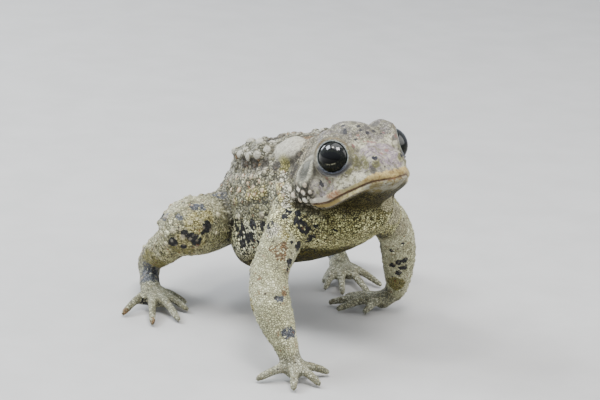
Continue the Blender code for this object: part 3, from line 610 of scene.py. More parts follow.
# Skin facing down on the head and the breast counts as throat, which gets dark colours as painted shade on
# the underside
throat = skull * step(-1.0, -1.6, gap) * np.maximum(downward, part("jaw"))
breast = torso * np.maximum(downward, forward) * step(4, -2, trunk[:, 1]) * step(35.5, 38.5, high)
throat = np.maximum(throat, breast)
chest = (torso + skull * step(-1.6, -2.2, gap)) * step(6, 0, drawn[:, 1])
chest = chest * step(39.0, 34.0, high) * step(24, 28, high)
cheek = skull * step(4.8, 6.2, behind) * step(-3.8, -6.0, above)
nape = part("head") * step(8.6, 10.4, behind)
bare = skull * (1 - cheek) * (1 - nape) * (1 - throat)
crown = part("head") * step(1.5, 3.2, above) * step(-6.5, -3.5, behind)
fine_parts = arms + feet + legs * 0.6 + part("head", "jaw", "gland", "ear") + throat + chest
flank_low = torso * step(0, -16, angle) * step(-46, -34, angle) * step(3, 8, trunk[:, 1])

# The ear drum, a flat plate in a low round rim; the mouth's corner with its warts; the gland's lower tip
drum, ear_rim, ear_shade, corner_zone, gland_low = (np.zeros(len(hide.points)) for _ in range(5))
for side in (-1, 1):
    from_ear = local - (side * EAR_AT[0], EAR_AT[1], EAR_AT[2])
    length = from_ear @ (side * EAR_LONG[0], EAR_LONG[1], EAR_LONG[2]) / EAR_HALF_LONG
    width = from_ear @ (side * EAR_WIDE[0], EAR_WIDE[1], EAR_WIDE[2]) / EAR_HALF_WIDE
    ring = np.hypot(length, width)
    beside = step(6, 9, side * across)
    drum = np.maximum(drum, beside * step(1.08, 0.9, ring))
    # The raised rim's pale band is painted light, and the ring just outside it painted shade
    ear_rim = np.maximum(ear_rim, beside * blend_in((ring - 1.2) / 0.3))
    ear_shade = np.maximum(ear_shade, beside * blend_in((ring - 1.6) / 0.35))
    hide.push(beside * (0.28 * blend_in((ring - 1.22) / 0.3) - 0.35 * step(1.05, 0.8, ring)))
    from_corner = (local - (side * 14.2, 9.2, -9.0)) / (4.5, 5.6, 4.2)
    corner_zone = np.maximum(corner_zone, blend_in(np.linalg.norm(from_corner, axis=1)))
    from_tip = (trunk - (side * 12.7, 1.6, 13.0)) / (3.4, 3.6, 3.0)
    gland_low = np.maximum(gland_low, blend_in(np.linalg.norm(from_tip, axis=1)))

skin_masks = {
    "ear": drum, "ear_rim": ear_rim, "ear_shade": ear_shade, "corner": corner_zone, "gland_low": gland_low,
    "upper_lip": upper_lip, "lower_lip": lower_lip, "mouth": mouth, "mouth_run": mouth_run,
    "wart": wart_top, "wart_edge": wart_edge, "wart_tint": wart_tint, "wart_size": wart_size,
    "wart_named": wart_named, "lid_rim": lid_rim, "hollow": np.clip(hollow / 0.3, -1, 1), **lids,
}
# These run softly into each other, over so many neighbours
for name, values, times in (
    ("bare", bare, 4), ("cheek", cheek, 4), ("crown", crown, 4), ("gland", part("gland"), 5),
    ("back", back, 6), ("flank", torso * step(45, 20, angle) * step(-50, -28, angle) + shoulders, 6),
    # The belly, the lower torso, and the throat get dark colours as painted shade on the underside
    ("belly", torso * step(-22, -48, angle), 6), ("flank_low", flank_low, 5), ("throat", throat, 7),
    ("saddle", saddle, 7), ("chest", chest * (1 - 0.3 * throat), 7), ("arm", arms, 6), ("leg", legs, 6),
    ("foot", feet, 9), ("leg_low", legs * step(0.25, -0.45, upward), 6),
    ("fine_grain", np.clip(fine_parts, 0, 1), 5),
    ("chin", part("jaw") * step(-5.4, -7.6, behind) * step(-3.1, -2.2, gap), 2),
):
    skin_masks[name] = hide.spread(values, times)

# Marks of the photographed side, as drawn points and radii in millimetres
BLACK = [
    (-15.8, 22.7, 23.3, 1.3), (-16.1, 20.0, 23.4, 1.3), (-16.6, 13.4, 28.0, 1.3), (-16.1, 17.2, 23.2, 1.3),
    (-16.2, 18.9, 25.5, 1.2), (-15.9, 14.9, 24.1, 1.2), (-16.3, 8.8, 28.6, 1.4), (-15.4, 19.4, 21.4, 1.2),
    (-14.8, 24.3, 25.0, 1.2), (-15.3, 12.4, 22.6, 1.3), (-13.0, 28.6, 23.2, 1.0), (-20.4, -1.0, 32.6, 1.0),
    (-17.4, -2.7, 35.0, 0.8), (-16.1, -2.3, 36.1, 0.8), (-14.3, -3.6, 35.7, 0.7), (-14.9, -4.8, 33.8, 1.2),
    (-13.7, -5.3, 32.5, 1.3), (-12.6, -5.2, 31.6, 1.0), (-11.3, -3.8, 28.3, 1.1), (-15.8, -6.8, 28.3, 1.1),
    (-18.1, -7.2, 29.7, 0.4), (-19.5, -9.0, 25.2, 1.0), (-20.5, -9.9, 23.8, 0.5), (-12.0, -5.0, 26.4, 0.7),
    (-22.6, 25.5, 24.8, 1.35), (-27.2, 24.8, 22.7, 1.0), (-25.8, 24.6, 21.7, 1.25), (-29.0, 25.5, 23.7, 0.9),
    (-31.0, 27.8, 21.0, 1.1), (-28.8, 26.1, 20.1, 0.7), (-30.9, 34.0, 26.0, 0.8), (-33.2, 37.2, 2.3, 1.0),
    (-10.6, -6.3, 32.7, 0.6), (-7.5, -10.1, 32.2, 0.6), (-10.4, -4.9, 29.7, 0.7), (-24.4, 24.9, 23.4, 0.5),
]
FAR_BLACK = [
    (21.8, 2.0, 21.5, 0.55), (20.2, 4.3, 19.1, 0.6), (22.0, 6.0, 14.6, 0.7), (22.9, 4.5, 15.6, 0.75),
    (24.2, 3.7, 16.3, 0.75), (24.9, 4.4, 14.1, 0.7), (23.8, 5.7, 12.4, 0.75), (23.6, 4.8, 13.8, 0.5),
]
BLUE = [
    (-24.5, 29.1, 29.3, 1.1), (-23.3, 29.0, 29.1, 1.1), (-22.2, 29.0, 28.9, 1.0), (-29.3, 28.0, 27.4, 0.8),
    (-32.0, 31.6, 27.0, 1.2), (-11.6, 38.0, 28.1, 1.7), (-28.2, 44.4, 7.2, 2.6), (-26.6, -15.2, 18.8, 0.75),
    (-25.5, -15.3, 18.7, 0.75), (-26.3, -20.2, 11.8, 1.2), (-24.6, -20.0, 11.8, 1.1), (27.0, 13.0, 6.5, 1.5),
    (-14.3, -5.0, 33.2, 0.7),
]
RUST = [
    (-20.6, -7.5, 29.1, 1.1), (-21.9, -8.7, 27.3, 1.3), (-23.2, -6.9, 28.6, 0.8), (-28.5, -9.8, 22.6, 0.6),
    (-24.1, -14.4, 20.0, 0.9), (-15.7, 24.6, 30.6, 0.9), (-14.4, 16.0, 43.2, 0.9), (-13.9, 27.1, 41.5, 0.7),
    (-14.8, 4.9, 41.2, 0.9), (-15.4, 22.9, 34.4, 0.6), (-40.1, 35.4, 1.8, 1.1), (-36.8, 25.7, 1.4, 1.1),
    (-4.3, 8.8, 50.8, 1.4), (-7.0, 8.0, 51.4, 1.0), (-9.0, 30.0, 39.5, 1.8), (-14.0, -6.3, 41.0, 0.6),
]
CREAM = [
    (-14.4, -1.7, 39.6, 1.3), (-15.0, -4.6, 42.0, 1.0), (-14.0, -6.3, 39.8, 1.1), (-13.9, -3.6, 39.3, 0.9),
    (-13.7, 4.9, 42.5, 1.3), (-15.2, 1.2, 40.4, 1.4), (-15.9, -0.7, 37.6, 1.2), (-22.4, -3.0, 33.2, 2.4),
]
FAR_CREAM = [
    (6.6, -11.6, 38.1, 1.8), (11.5, -7.4, 35.0, 2.4), (15.7, -2.4, 31.6, 2.4), (19.6, 0.6, 27.0, 2.2),
]
YELLOW = [
    (-13.4, 5.6, 42.6, 1.0), (-14.8, 4.0, 40.4, 1.2), (-15.6, 1.6, 38.6, 1.3), (-15.3, 3.4, 36.2, 1.0),
    (-16.3, 16.2, 35.2, 1.4), (-16.1, 13.2, 36.3, 1.4), (-15.9, 10.3, 37.6, 1.2), (-15.6, 23.9, 31.4, 1.2),
    (-19.6, -6.0, 31.2, 1.2), (-25.6, 26.4, 25.4, 2.6), (-28.6, 26.2, 21.8, 2.0), (-30.1, -9.6, 16.1, 1.4),
    (-21.4, 26.2, 27.6, 2.0), (-24.6, 25.0, 20.6, 1.6),
]
# Painted shadow below the shelf of domes on the back and along the gland's lower edge, as drawn points and
# radii
PAINTED_SHADOW = [
    (-13.6, 13.4, 43.4, 1.5), (-14.0, 18.0, 42.4, 1.4), (-13.8, 22.4, 41.8, 1.4), (-13.4, 8.4, 44.4, 1.2),
    (-11.3, 1.9, 48.7, 1.0), (-12.2, 3.1, 46.7, 1.1), (-12.7, 0.8, 45.8, 0.9), (-13.4, 1.8, 44.0, 0.9),
]
OLIVE = [
    (-13.0, 6.6, 46.4, 1.9), (-12.9, 5.8, 45.0, 1.5), (-29.3, 41.1, 11.4, 3.2), (24.6, 7.6, 8.6, 2.0),
    (-29.6, 27.6, 18.8, 1.8), (-27.2, 26.6, 18.6, 1.4),
]

# Marks of the bare face, as drawn points and radii
RED = [
    (-2.8, -13.6, 55.2, 0.32), (-2.0, -13.9, 55.2, 0.36), (-1.2, -14.3, 55.1, 0.36),
    (-0.5, -14.6, 55.1, 0.28), (-3.3, -11.4, 56.2, 0.4), (-3.6, -12.3, 55.9, 0.3),
    (-0.9, -18.3, 53.3, 0.42), (-11.5, -11.2, 46.4, 0.42), (-11.1, -11.9, 45.6, 0.36),
    (-6.4, -14.2, 54.7, 0.45),
]
DOTS = [
    (-3.5, -5.0, 57.2, 0.5), (-4.8, -8.0, 56.2, 0.6), (-4.4, -7.3, 56.6, 0.45), (-0.7, -11.6, 56.7, 0.5),
    (-1.9, -9.3, 57.9, 0.45), (1.5, -11.1, 56.8, 0.5), (-2.6, -2.6, 57.9, 0.45), (-4.4, -12.0, 55.6, 0.4),
    (-11.8, -9.9, 44.3, 0.5), (-11.9, -9.2, 44.7, 0.5), (-4.2, -22.0, 50.1, 0.3), (-7.9, -15.0, 49.9, 0.35),
    (-7.0, 14.6, 48.7, 0.4), (-5.9, -18.0, 50.4, 0.3), (-1.4, -22.4, 46.6, 0.5), (0.8, -22.8, 47.6, 0.36),
]
DUSKY = [
    (-10.4, -8.6, 50.0, 0.9), (-9.6, -10.4, 49.4, 0.9), (-8.6, -12.0, 50.6, 0.8), (-11.8, -5.0, 47.6, 0.9),
    (-4.6, -20.7, 50.0, 0.7), (-6.5, -14.4, 54.6, 0.5), (-4.9, -7.0, 56.6, 0.9), (-1.2, -10.6, 57.4, 0.7),
]
FACE_OLIVE = [
    (-7.0, -15.4, 51.8, 1.0), (-6.4, -16.3, 50.2, 1.1), (-7.6, -14.6, 53.9, 0.9), (-5.4, -18.5, 51.0, 0.9),
    (-8.4, -15.7, 49.1, 0.8), (-4.1, -20.8, 51.7, 0.8), (-5.4, -17.2, 52.2, 0.7),
]
FACE_CREAM = [
    (-2.5, -9.1, 57.7, 0.9), (-1.6, -10.5, 57.5, 0.8), (-8.4, -16.7, 47.0, 1.6), (-9.9, -14.7, 45.7, 1.3),
    (-7.0, -18.8, 47.7, 1.5), (-5.2, -20.6, 48.6, 1.2), (4.5, -13.8, 55.0, 1.4), (-3.4, -4.4, 57.6, 0.7),
]
FACE_MAUVE = [
    (-3.8, -16.8, 53.6, 1.4), (-1.3, -20.1, 52.7, 1.6), (0.7, -17.4, 53.8, 2.0), (-9.6, -4.4, 52.6, 1.6),
]
# The nostrils' openings, as drawn points and radii, painted black as painted shade in their pits
NOSTRIL = [(-3.9, -20.1, 53.0, 0.5), (-4.2, -19.7, 53.0, 0.36)]


def marked(spots, both=True):
    """A mask of round marks, on the photographed side and, as mirrored kin, on the other."""
    mask = np.zeros(len(drawn))
    draw = random.Random(3)
    for x, y, z, radius in spots:
        places = [((x, y, z), radius * 1.7)]
        if both:
            shift = Vector((draw.uniform(-1, 1), draw.uniform(-1, 1), draw.uniform(-1, 1))) * 1.2
            places.append(((-x + shift.x, y + shift.y, z + shift.z), radius * 2.0))
        for place, reach in places:
            mask = np.maximum(mask, blend_in(np.linalg.norm(drawn - place, axis=1) / reach))
    return mask


for name, spots in (
    ("black", BLACK), ("blue", BLUE), ("rust", RUST), ("cream", CREAM), ("olive", OLIVE), ("red", RED),
    ("dots", DOTS), ("yellow", YELLOW), ("shade", PAINTED_SHADOW), ("dusky", DUSKY), ("face_olive", FACE_OLIVE),
    ("face_cream", FACE_CREAM), ("face_mauve", FACE_MAUVE), ("nostril", NOSTRIL),
):
    skin_masks[name] = marked(spots)
skin_masks["black"] = np.maximum(skin_masks["black"], marked(FAR_BLACK, False))
skin_masks["pale"] = marked(FAR_CREAM, False)
for name, values in skin_masks.items():
    hide.mask(name, values)


class Shader:
    """Short ways to add nodes to a material."""

    def __init__(self, name):
        self.material = bpy.data.materials.new(name)
        self.material.use_nodes = True
        self.tree = self.material.node_tree
        self.surface = self.tree.nodes["Principled BSDF"]

    def plug(self, value, socket):
        """Gives a socket another node's output, the mask of that name, or a plain value."""
        if isinstance(value, str):
            value = self.mask(value)
        if isinstance(value, bpy.types.NodeSocket):
            self.tree.links.new(value, socket)
        else:
            socket.default_value = value

    def add(self, kind, inputs=None, **settings):
        node = self.tree.nodes.new(kind)
        for key, value in settings.items():
            setattr(node, key, value)
        for key, value in (inputs or {}).items():
            self.plug(value, node.inputs[key])
        return node

    def math(self, operation, *values, clamp=False):
        node = self.add("ShaderNodeMath", dict(enumerate(values)), operation=operation, use_clamp=clamp)
        return node.outputs[0]

    def ramp(self, value, low, high):
        """0 at low, 1 at high, and smooth between."""
        inputs = {"Value": value, "From Min": low, "From Max": high}
        return self.add("ShaderNodeMapRange", inputs, interpolation_type="SMOOTHSTEP").outputs[0]

    def mix(self, share, one, two, way="MIX"):
        node = self.add("ShaderNodeMix", data_type="RGBA", blend_type=way)
        for index, value in ((0, share), (6, one), (7, two)):
            self.plug((*value, 1) if isinstance(value, tuple) else value, node.inputs[index])
        return node.outputs[2]

    def product(self, one, two):
        return self.math("MULTIPLY", one, two)

    def line(self, value, slope, start, clamp=False):
        return self.math("MULTIPLY_ADD", value, slope, start, clamp=clamp)

    def fade(self, value, low, high, one, two):
        """From colour one where the value is low to colour two where it is high."""
        return self.mix(self.ramp(value, low, high), one, two)

    def mask(self, name):
        return self.add("ShaderNodeAttribute", attribute_name=name).outputs["Fac"]

    def laid(self, colour, where, shade, most):
        """A shade laid over a colour where a mask or a value says, with at most that share of it."""
        return self.mix(self.product(where, most), colour, shade)

    def ragged(self, value, pattern, amount):
        """A value whose edges a pattern breaks up."""
        return self.line(self.math("SUBTRACT", pattern, 0.5), amount, value)

    def ragged_mark(self, name, pattern, amount, edge, rim):
        """A mask with a broken edge, and nothing of it where the mask itself has run out."""
        mark = self.mask(name)
        return self.product(self.ramp(self.ragged(mark, pattern, amount), *edge), self.ramp(mark, *rim))

    def noise(self, vector, scale, detail=3.0, rough=0.55):
        inputs = {"Vector": vector, "Scale": scale, "Detail": detail, "Roughness": rough}
        return self.add("ShaderNodeTexNoise", inputs).outputs["Fac"]

    def blend(self, share, one, two):
        """A value between two values."""
        return self.add("ShaderNodeMix", {0: share, 2: one, 3: two}).outputs[0]

    def times(self, colour, shade):
        """A colour multiplied by another."""
        return self.mix(1.0, colour, shade, "MULTIPLY")

    def cells(self, vector, scale, **settings):
        inputs = {"Vector": vector, "Scale": scale, "Randomness": 0.85}
        return self.add("ShaderNodeTexVoronoi", inputs, **settings).outputs

    def cobbles(self, vector, scale):
        """Rounded cells: how far from the cell's edge, and the cell's own colour of chance."""
        edge = self.cells(vector, scale, feature="DISTANCE_TO_EDGE")["Distance"]
        return edge, self.cells(vector, scale)["Color"]

    def bump(self, height, strength=1.0, distance=MM):
        inputs = {"Strength": strength, "Distance": distance, "Height": height}
        return self.add("ShaderNodeBump", inputs).outputs[0]

    def out(self, **sockets):
        for name, value in sockets.items():
            self.plug(value, self.surface.inputs[name.replace("_", " ")])


# For each region: the colour between the granules, the colour on top of them; the dark throat and belly
# colours are painted shade on the underside
REGIONS = [
    ("back", (0.075, 0.07, 0.045), (0.43, 0.41, 0.32)),
    ("flank", (0.055, 0.052, 0.03), (0.48, 0.46, 0.30)),
    ("flank_low", (0.014, 0.015, 0.011), (1.0, 0.98, 0.66)),
    ("belly", (0.005, 0.004, 0.0005), (0.09, 0.075, 0.012)),
    ("arm", (0.30, 0.285, 0.16), (0.77, 0.76, 0.50)),
    ("leg", (0.19, 0.18, 0.105), (0.76, 0.735, 0.49)),
    ("leg_low", (0.055, 0.052, 0.02), (0.82, 0.78, 0.42)),
    ("foot", (0.18, 0.175, 0.115), (0.56, 0.55, 0.41)),
    ("cheek", (0.03, 0.028, 0.02), (0.48, 0.45, 0.32)),
    ("throat", (0.009, 0.0075, 0.002), (0.105, 0.09, 0.03)),
    ("chest", (0.06, 0.053, 0.02), (1.0, 0.97, 0.52)),
    ("corner", (0.008, 0.007, 0.005), (0.14, 0.125, 0.08)),
]


# For each mark: its colours in the gaps and on the granules, how many granules take it, how ragged it is
MARKS = [
    ("olive", (0.09, 0.08, 0.02), (0.32, 0.285, 0.09), 1.0, 1.1),
    ("yellow", (0.12, 0.10, 0.03), (0.66, 0.59, 0.27), 0.8, 1.6),
    ("rust", (0.09, 0.055, 0.022), (0.33, 0.205, 0.095), 0.55, 1.8),
    ("blue", (0.04, 0.044, 0.052), (0.17, 0.18, 0.195), 0.85, 2.0),
    ("cream", (0.07, 0.062, 0.04), (0.78, 0.74, 0.56), 0.85, 1.1),
    ("pale", (0.17, 0.155, 0.085), (0.52, 0.48, 0.30), 1.0, 1.2),
    # The shade mark is painted shadow below the shelf and along the gland's edge
    ("shade", (0.014, 0.012, 0.008), (0.10, 0.085, 0.055), 1.0, 1.3),
    ("black", (0.004, 0.0045, 0.006), (0.010, 0.011, 0.014), 0.88, 1.3),
]


class SkinPaint(Shader):
    """The skin's material, with the patterns that its colours share, laid out in millimetres."""

    def __init__(self):
        super().__init__("toad skin")
        place = self.add("ShaderNodeTexCoord").outputs["Object"]
        spot = self.add("ShaderNodeVectorMath", {0: place, "Scale": 1 / MM}, operation="SCALE").outputs[0]
        stir = self.add("ShaderNodeTexNoise", {"Vector": spot, "Scale": 0.7, "Detail": 2.0}).outputs["Color"]
        stirred = {0: stir, 1: (0.7, 0.7, 0.7), 2: spot}
        self.spot = self.add("ShaderNodeVectorMath", stirred, operation="MULTIPLY_ADD").outputs[0]
        self.broad = self.noise(self.spot, 0.12, 4.0)
        self.middle = self.noise(self.spot, 0.42, 4.0)
        self.mottle = self.noise(self.spot, 1.2, 5.0, 0.65)
        self.fine = self.noise(self.spot, 3.5, 4.0, 0.65)
        self.granules()

    def granules(self):
        """Granules, fine on the limbs and the head, coarser on the flanks and the belly."""
        closer = self.mask("fine_grain")
        small, large = self.cobbles(self.spot, 1.75), self.cobbles(self.spot, 1.12)
        edge = self.blend(closer, large[0], small[0])
        mixed = self.mix(closer, large[1], small[1])
        self.chance = self.add("ShaderNodeSeparateColor", {0: mixed}).outputs
        luck = self.math("SUBTRACT", self.chance[0], 0.5)
        self.tops = self.ramp(self.line(luck, 0.16, edge), 0.05, 0.20)
        self.dome = self.ramp(edge, 0.0, 0.36)

    def spots(self, scale, start, end):
        """Round spots, one to a cell: none at the distance start, full at end."""
        return self.ramp(self.cells(self.spot, scale)["Distance"], start, end)


def hide_colour(paint):
    """The rough skin: each region and each mark colours the gaps and the granules apart."""
    low, high = (0.10, 0.09, 0.06), (0.48, 0.43, 0.31)
    for name, dark, light in REGIONS:
        share = paint.mask(name)
        low = paint.mix(share, low, dark)
        high = paint.mix(share, high, light)
    # Granules differ: some dull, some tan, a few nearly white
    light_parts = paint.math("MAXIMUM", "arm", "flank_low")
    dull = paint.line(light_parts, -0.7, 1.0)
    dull = paint.product(paint.ramp(paint.chance[1], 0.35, 0.9), dull)
    high = paint.mix(dull, high, paint.times(high, (0.52, 0.49, 0.41)))
    high = paint.fade(paint.chance[2], 0.74, 0.92, high, paint.times(high, (1.45, 1.45, 1.5)))
    # Broad drifts of grey, olive and brown
    drift = paint.ramp(paint.broad, 0.42, 0.60)
    low = paint.mix(drift, low, paint.times(low, (0.6, 0.6, 0.6)))
    high = paint.mix(drift, high, paint.times(high, (0.80, 0.80, 0.70)))
    high = paint.fade(paint.middle, 0.52, 0.66, high, paint.times(high, (0.78, 0.74, 0.70)))
    # Dark blotches on the middle of the back, the tops of the far legs and the backs of the limbs
    patch = paint.ragged(paint.cells(paint.spot, 0.17)["Distance"], paint.mottle, 0.5)
    patch = paint.product(paint.ramp(patch, 0.43, 0.34), "saddle")
    low = paint.mix(patch, low, (0.018, 0.015, 0.010))
    high = paint.mix(patch, high, (0.10, 0.082, 0.05))
    for name, gap_colour, top_colour, cover, ragged in MARKS:
        share = paint.ragged_mark(name, paint.mottle, ragged, (0.36, 0.56), (0.02, 0.16))
        chosen = paint.product(share, paint.ramp(paint.chance[0], cover + 0.02, cover - 0.02))
        low = paint.mix(share, low, gap_colour)
        high = paint.mix(chosen, high, top_colour)
    return paint.mix(paint.tops, low, high)


def face_colour(paint):
    """The face is smoother: mauve grey, cream and olive, finely mottled, with darker grain on the crown."""
    face = paint.fade(paint.middle, 0.42, 0.56, (0.225, 0.195, 0.192), (0.325, 0.30, 0.215))
    for name, shade in (
        ("face_mauve", (0.23, 0.18, 0.20)),
        ("face_cream", (0.50, 0.47, 0.34)),
        ("face_olive", (0.165, 0.155, 0.065)),
    ):
        face = paint.mix(paint.ragged_mark(name, paint.mottle, 1.3, (0.2, 0.6), (0.02, 0.2)), face, shade)
    patches = paint.noise(paint.spot, 0.75, 4.0)
    for pattern, start, end, shade, most in (
        (patches, 0.50, 0.60, (0.155, 0.145, 0.07), 0.7),
        (patches, 0.45, 0.34, (0.42, 0.39, 0.28), 0.7),
        (paint.mottle, 0.54, 0.64, (0.46, 0.42, 0.31), 0.6),
        (paint.mottle, 0.47, 0.39, (0.085, 0.072, 0.055), 0.75),
    ):
        face = paint.laid(face, paint.ramp(pattern, start, end), shade, most)
    grain = paint.line("crown", 0.62, 0.16)
    return paint.mix(paint.product(paint.ramp(paint.tops, 0.8, 0.2), grain), face, (0.06, 0.054, 0.04))


def gland_colour(paint):
    """The gland: pale and smooth, with fine pores, and olive at its lower tip."""
    smooth = paint.fade(paint.mottle, 0.40, 0.60, (0.30, 0.277, 0.22), (0.46, 0.437, 0.34))
    smooth = paint.laid(smooth, paint.ramp(paint.fine, 0.46, 0.37), (0.14, 0.12, 0.09), 0.65)
    pore = paint.product(paint.spots(1.3, 0.22, 0.11), paint.ramp(paint.middle, 0.43, 0.53))
    smooth = paint.mix(pore, smooth, (0.05, 0.045, 0.035))
    tip = paint.mix(paint.tops, (0.09, 0.08, 0.02), (0.34, 0.31, 0.12))
    return paint.mix("gland_low", smooth, tip)


def ear_over(paint, colour):
    """The ear drum: a dark grey plate, with its raised rim painted pale as painted light and a ring of
    painted shade round it.
    """
    drum = paint.fade(paint.middle, 0.42, 0.58, (0.075, 0.073, 0.056), (0.135, 0.132, 0.105))
    drum = paint.laid(drum, paint.ramp(paint.fine, 0.44, 0.36), (0.05, 0.05, 0.042), 0.6)
    colour = paint.laid(colour, "ear_rim", (0.44, 0.43, 0.33), 0.85)
    colour = paint.laid(colour, "ear_shade", (0.085, 0.08, 0.06), 0.6)
    return paint.mix("ear", colour, drum)


def warts_over(paint, colour):
    """Cream or tan tops in a dark ring, partly the skin's own and partly painted shade at the warts' foot,
    now and then rust at the foot; gives the tops' share too.
    """
    foot, tint, corner, back = (paint.mask(name) for name in ("wart_edge", "wart_tint", "corner", "back"))
    cap = paint.mix(tint, (0.58, 0.53, 0.40), (0.46, 0.36, 0.23))
    cap = paint.laid(cap, back, (0.46, 0.445, 0.385), 0.75)
    white = paint.fade(paint.middle, 0.44, 0.56, (0.62, 0.50, 0.37), (0.86, 0.82, 0.70))
    cap = paint.mix(corner, cap, white)
    cap = paint.laid(cap, paint.ramp(paint.mottle, 0.5, 0.38), (0.22, 0.19, 0.14), 0.5)
    most = paint.line("wart_named", 0.55, 0.38)
    most = paint.line(back, -0.2, most)
    large = paint.ramp("wart_size", 0.3, 0.85)
    cap_share = paint.product(paint.product(paint.ramp("wart", 0.22, 0.6), large), most)
    # The dark ring round each wart's foot: partly the skin's colour, partly painted shade where the wart
    # meets the skin
    foot_ring_and_shade = paint.line(corner, 0.45, 0.42)
    foot_ring_and_shade = paint.line(back, -0.25, foot_ring_and_shade)
    foot_ring_and_shade = paint.line("arm", -0.25, foot_ring_and_shade, clamp=True)
    colour = paint.mix(paint.product(foot, foot_ring_and_shade), colour, (0.02, 0.017, 0.011))
    colour = paint.mix(cap_share, colour, cap)
    rusty = paint.product(paint.ramp(tint, 0.80, 0.90), paint.ramp(foot, 0.1, 0.5))
    return paint.laid(colour, rusty, (0.20, 0.075, 0.02), 0.7), cap_share


def specks_over(paint, colour):
    """Small dark specks over the head and back, pits on the crown, a few named dots, and painted shadow
    below the shelf and along the gland's edge.
    """
    speck = paint.product(paint.spots(0.62, 0.24, 0.14), paint.ramp(paint.middle, 0.44, 0.56))
    dry = paint.math("SUBTRACT", 0.85, "throat")
    colour = paint.mix(paint.math("MULTIPLY", speck, dry, clamp=True), colour, (0.045, 0.035, 0.03))
    pit = paint.product(paint.spots(1.05, 0.34, 0.18), paint.ramp(paint.mottle, 0.41, 0.50))
    pit = paint.product(pit, paint.product("crown", "bare"))
    colour = paint.laid(colour, pit, (0.05, 0.042, 0.037), 0.85)
    for name, shade, most in (
        # Painted shadow laid once more, now over the gland and the face too
        ("shade", (0.05, 0.042, 0.03), 0.6),
        ("dusky", (0.08, 0.072, 0.062), 0.85),
        ("red", (0.20, 0.085, 0.07), 0.7),
        ("dots", (0.02, 0.018, 0.022), 0.95),
        # The nostrils' black is painted shade in their pits
        ("nostril", (0.006, 0.006, 0.014), 1.0),
    ):
        share = paint.ragged_mark(name, paint.fine, 1.4, (0.35, 0.6), (0.02, 0.12))
        colour = paint.laid(colour, share, shade, most)
    return colour


def lips_over(paint, colour):
    """The upper lip, ochre in front, then tan, orange and white, the lower lip, and the chin, whose darker
    brown and olive are partly its own colour and partly painted shade under the jaw.
    """
    run = paint.mask("mouth_run")
    lip = paint.fade(paint.mottle, 0.36, 0.6, (0.26, 0.165, 0.045), (0.47, 0.35, 0.125))
    tan = paint.mix(paint.chance[0], (0.30, 0.25, 0.10), (0.46, 0.40, 0.20))
    orange = paint.fade(paint.mottle, 0.4, 0.6, (0.36, 0.17, 0.075), (0.60, 0.44, 0.27))
    for start, end, shade in ((0.16, 0.34, tan), (0.48, 0.60, orange), (0.72, 0.84, (0.66, 0.61, 0.49))):
        lip = paint.fade(run, start, end, lip, shade)
    reach = paint.ragged("upper_lip", paint.mottle, 2.2)
    colour = paint.laid(colour, paint.ramp(reach, 0.25, 0.8), lip, 0.9)
    pale = paint.fade(paint.mottle, 0.36, 0.56, (0.40, 0.31, 0.10), (0.72, 0.65, 0.34))
    pale = paint.fade(run, 0.50, 0.72, pale, (0.34, 0.25, 0.085))
    colour = paint.fade("lower_lip", 0.2, 0.6, colour, pale)
    # The chin is darker: partly its own brown and olive, partly painted shade under the jaw
    chin = paint.fade(paint.middle, 0.42, 0.56, (0.17, 0.14, 0.06), (0.28, 0.27, 0.20))
    brown = paint.product(paint.ramp(paint.mottle, 0.50, 0.40), paint.ramp(run, 0.14, 0.04))
    chin = paint.mix(brown, chin, (0.11, 0.07, 0.02))
    colour = paint.mix("chin", colour, chin)
    return paint.laid(colour, "mouth", (0.12, 0.05, 0.012), 0.9)


def lids_over(paint, colour):
    """The furrow round the eye, darkened as painted shade, the brow's line, painted shadow below the eye,
    the lids' thin margin, painted shadow where the lids meet the eyeball, and painted shade in deep hollows.
    """
    brow = paint.product("brow_line", paint.ramp(paint.mottle, 0.34, 0.5))
    # Deep hollows are darkened as painted shade
    hollows = paint.ramp("hollow", -0.10, -0.9)
    for where, shade, most in (
        ("fold", (0.15, 0.14, 0.11), 0.6),
        (brow, (0.16, 0.12, 0.058), 0.85),
        ("eye_bag", (0.03, 0.029, 0.03), 0.9),
        ("margin", (0.235, 0.265, 0.255), 0.9),
        ("lower_lid", (0.055, 0.062, 0.085), 1.0),
        ("lid_rim", (0.004, 0.004, 0.005), 1.0),
        (hollows, (0.03, 0.025, 0.014), 0.7),
    ):
        colour = paint.laid(colour, where, shade, most)
    return colour


def skin_height(paint, cap_share):
    """How high the granules stand, in millimetres: least on the face, the gland, the ear and on warts."""
    height = paint.product(paint.dome, paint.line("arm", 0.06, 0.24))
    smooth = paint.math("MAXIMUM", "gland", "ear")
    smooth = paint.math("MAXIMUM", "bare", smooth)
    quiet = paint.line(smooth, -0.78, 1.0)
    quiet = paint.line("crown", 0.3, quiet)
    quiet = paint.product(quiet, paint.line(cap_share, -0.75, 1.0))
    height = paint.line(paint.mottle, 0.14, paint.product(height, quiet))
    return paint.line(paint.fine, 0.05, height)


def toad_skin():
    paint = SkinPaint()
    colour = paint.mix("bare", hide_colour(paint), face_colour(paint))
    on_gland = paint.ragged_mark("gland", paint.mottle, 1.4, (0.3, 0.75), (0.0, 0.2))
    colour = paint.mix(on_gland, colour, gland_colour(paint))
    colour, cap_share = warts_over(paint, ear_over(paint, colour))
    colour = lids_over(paint, lips_over(paint, specks_over(paint, colour)))
    rough = paint.line(paint.fine, 0.25, 0.42)
    rough = paint.line("lower_lid", -0.35, rough, clamp=True)
    below = paint.math("MAXIMUM", "throat", "belly")
    shine = paint.line(below, -0.28, 0.35)
    bump = paint.bump(skin_height(paint, cap_share))
    paint.out(Base_Color=colour, Roughness=rough, Normal=bump, Specular_IOR_Level=shine)
    return paint.material


skin.data.materials.clear()
skin.data.materials.append(toad_skin())
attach(skin, "root")
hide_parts(*FLESH)


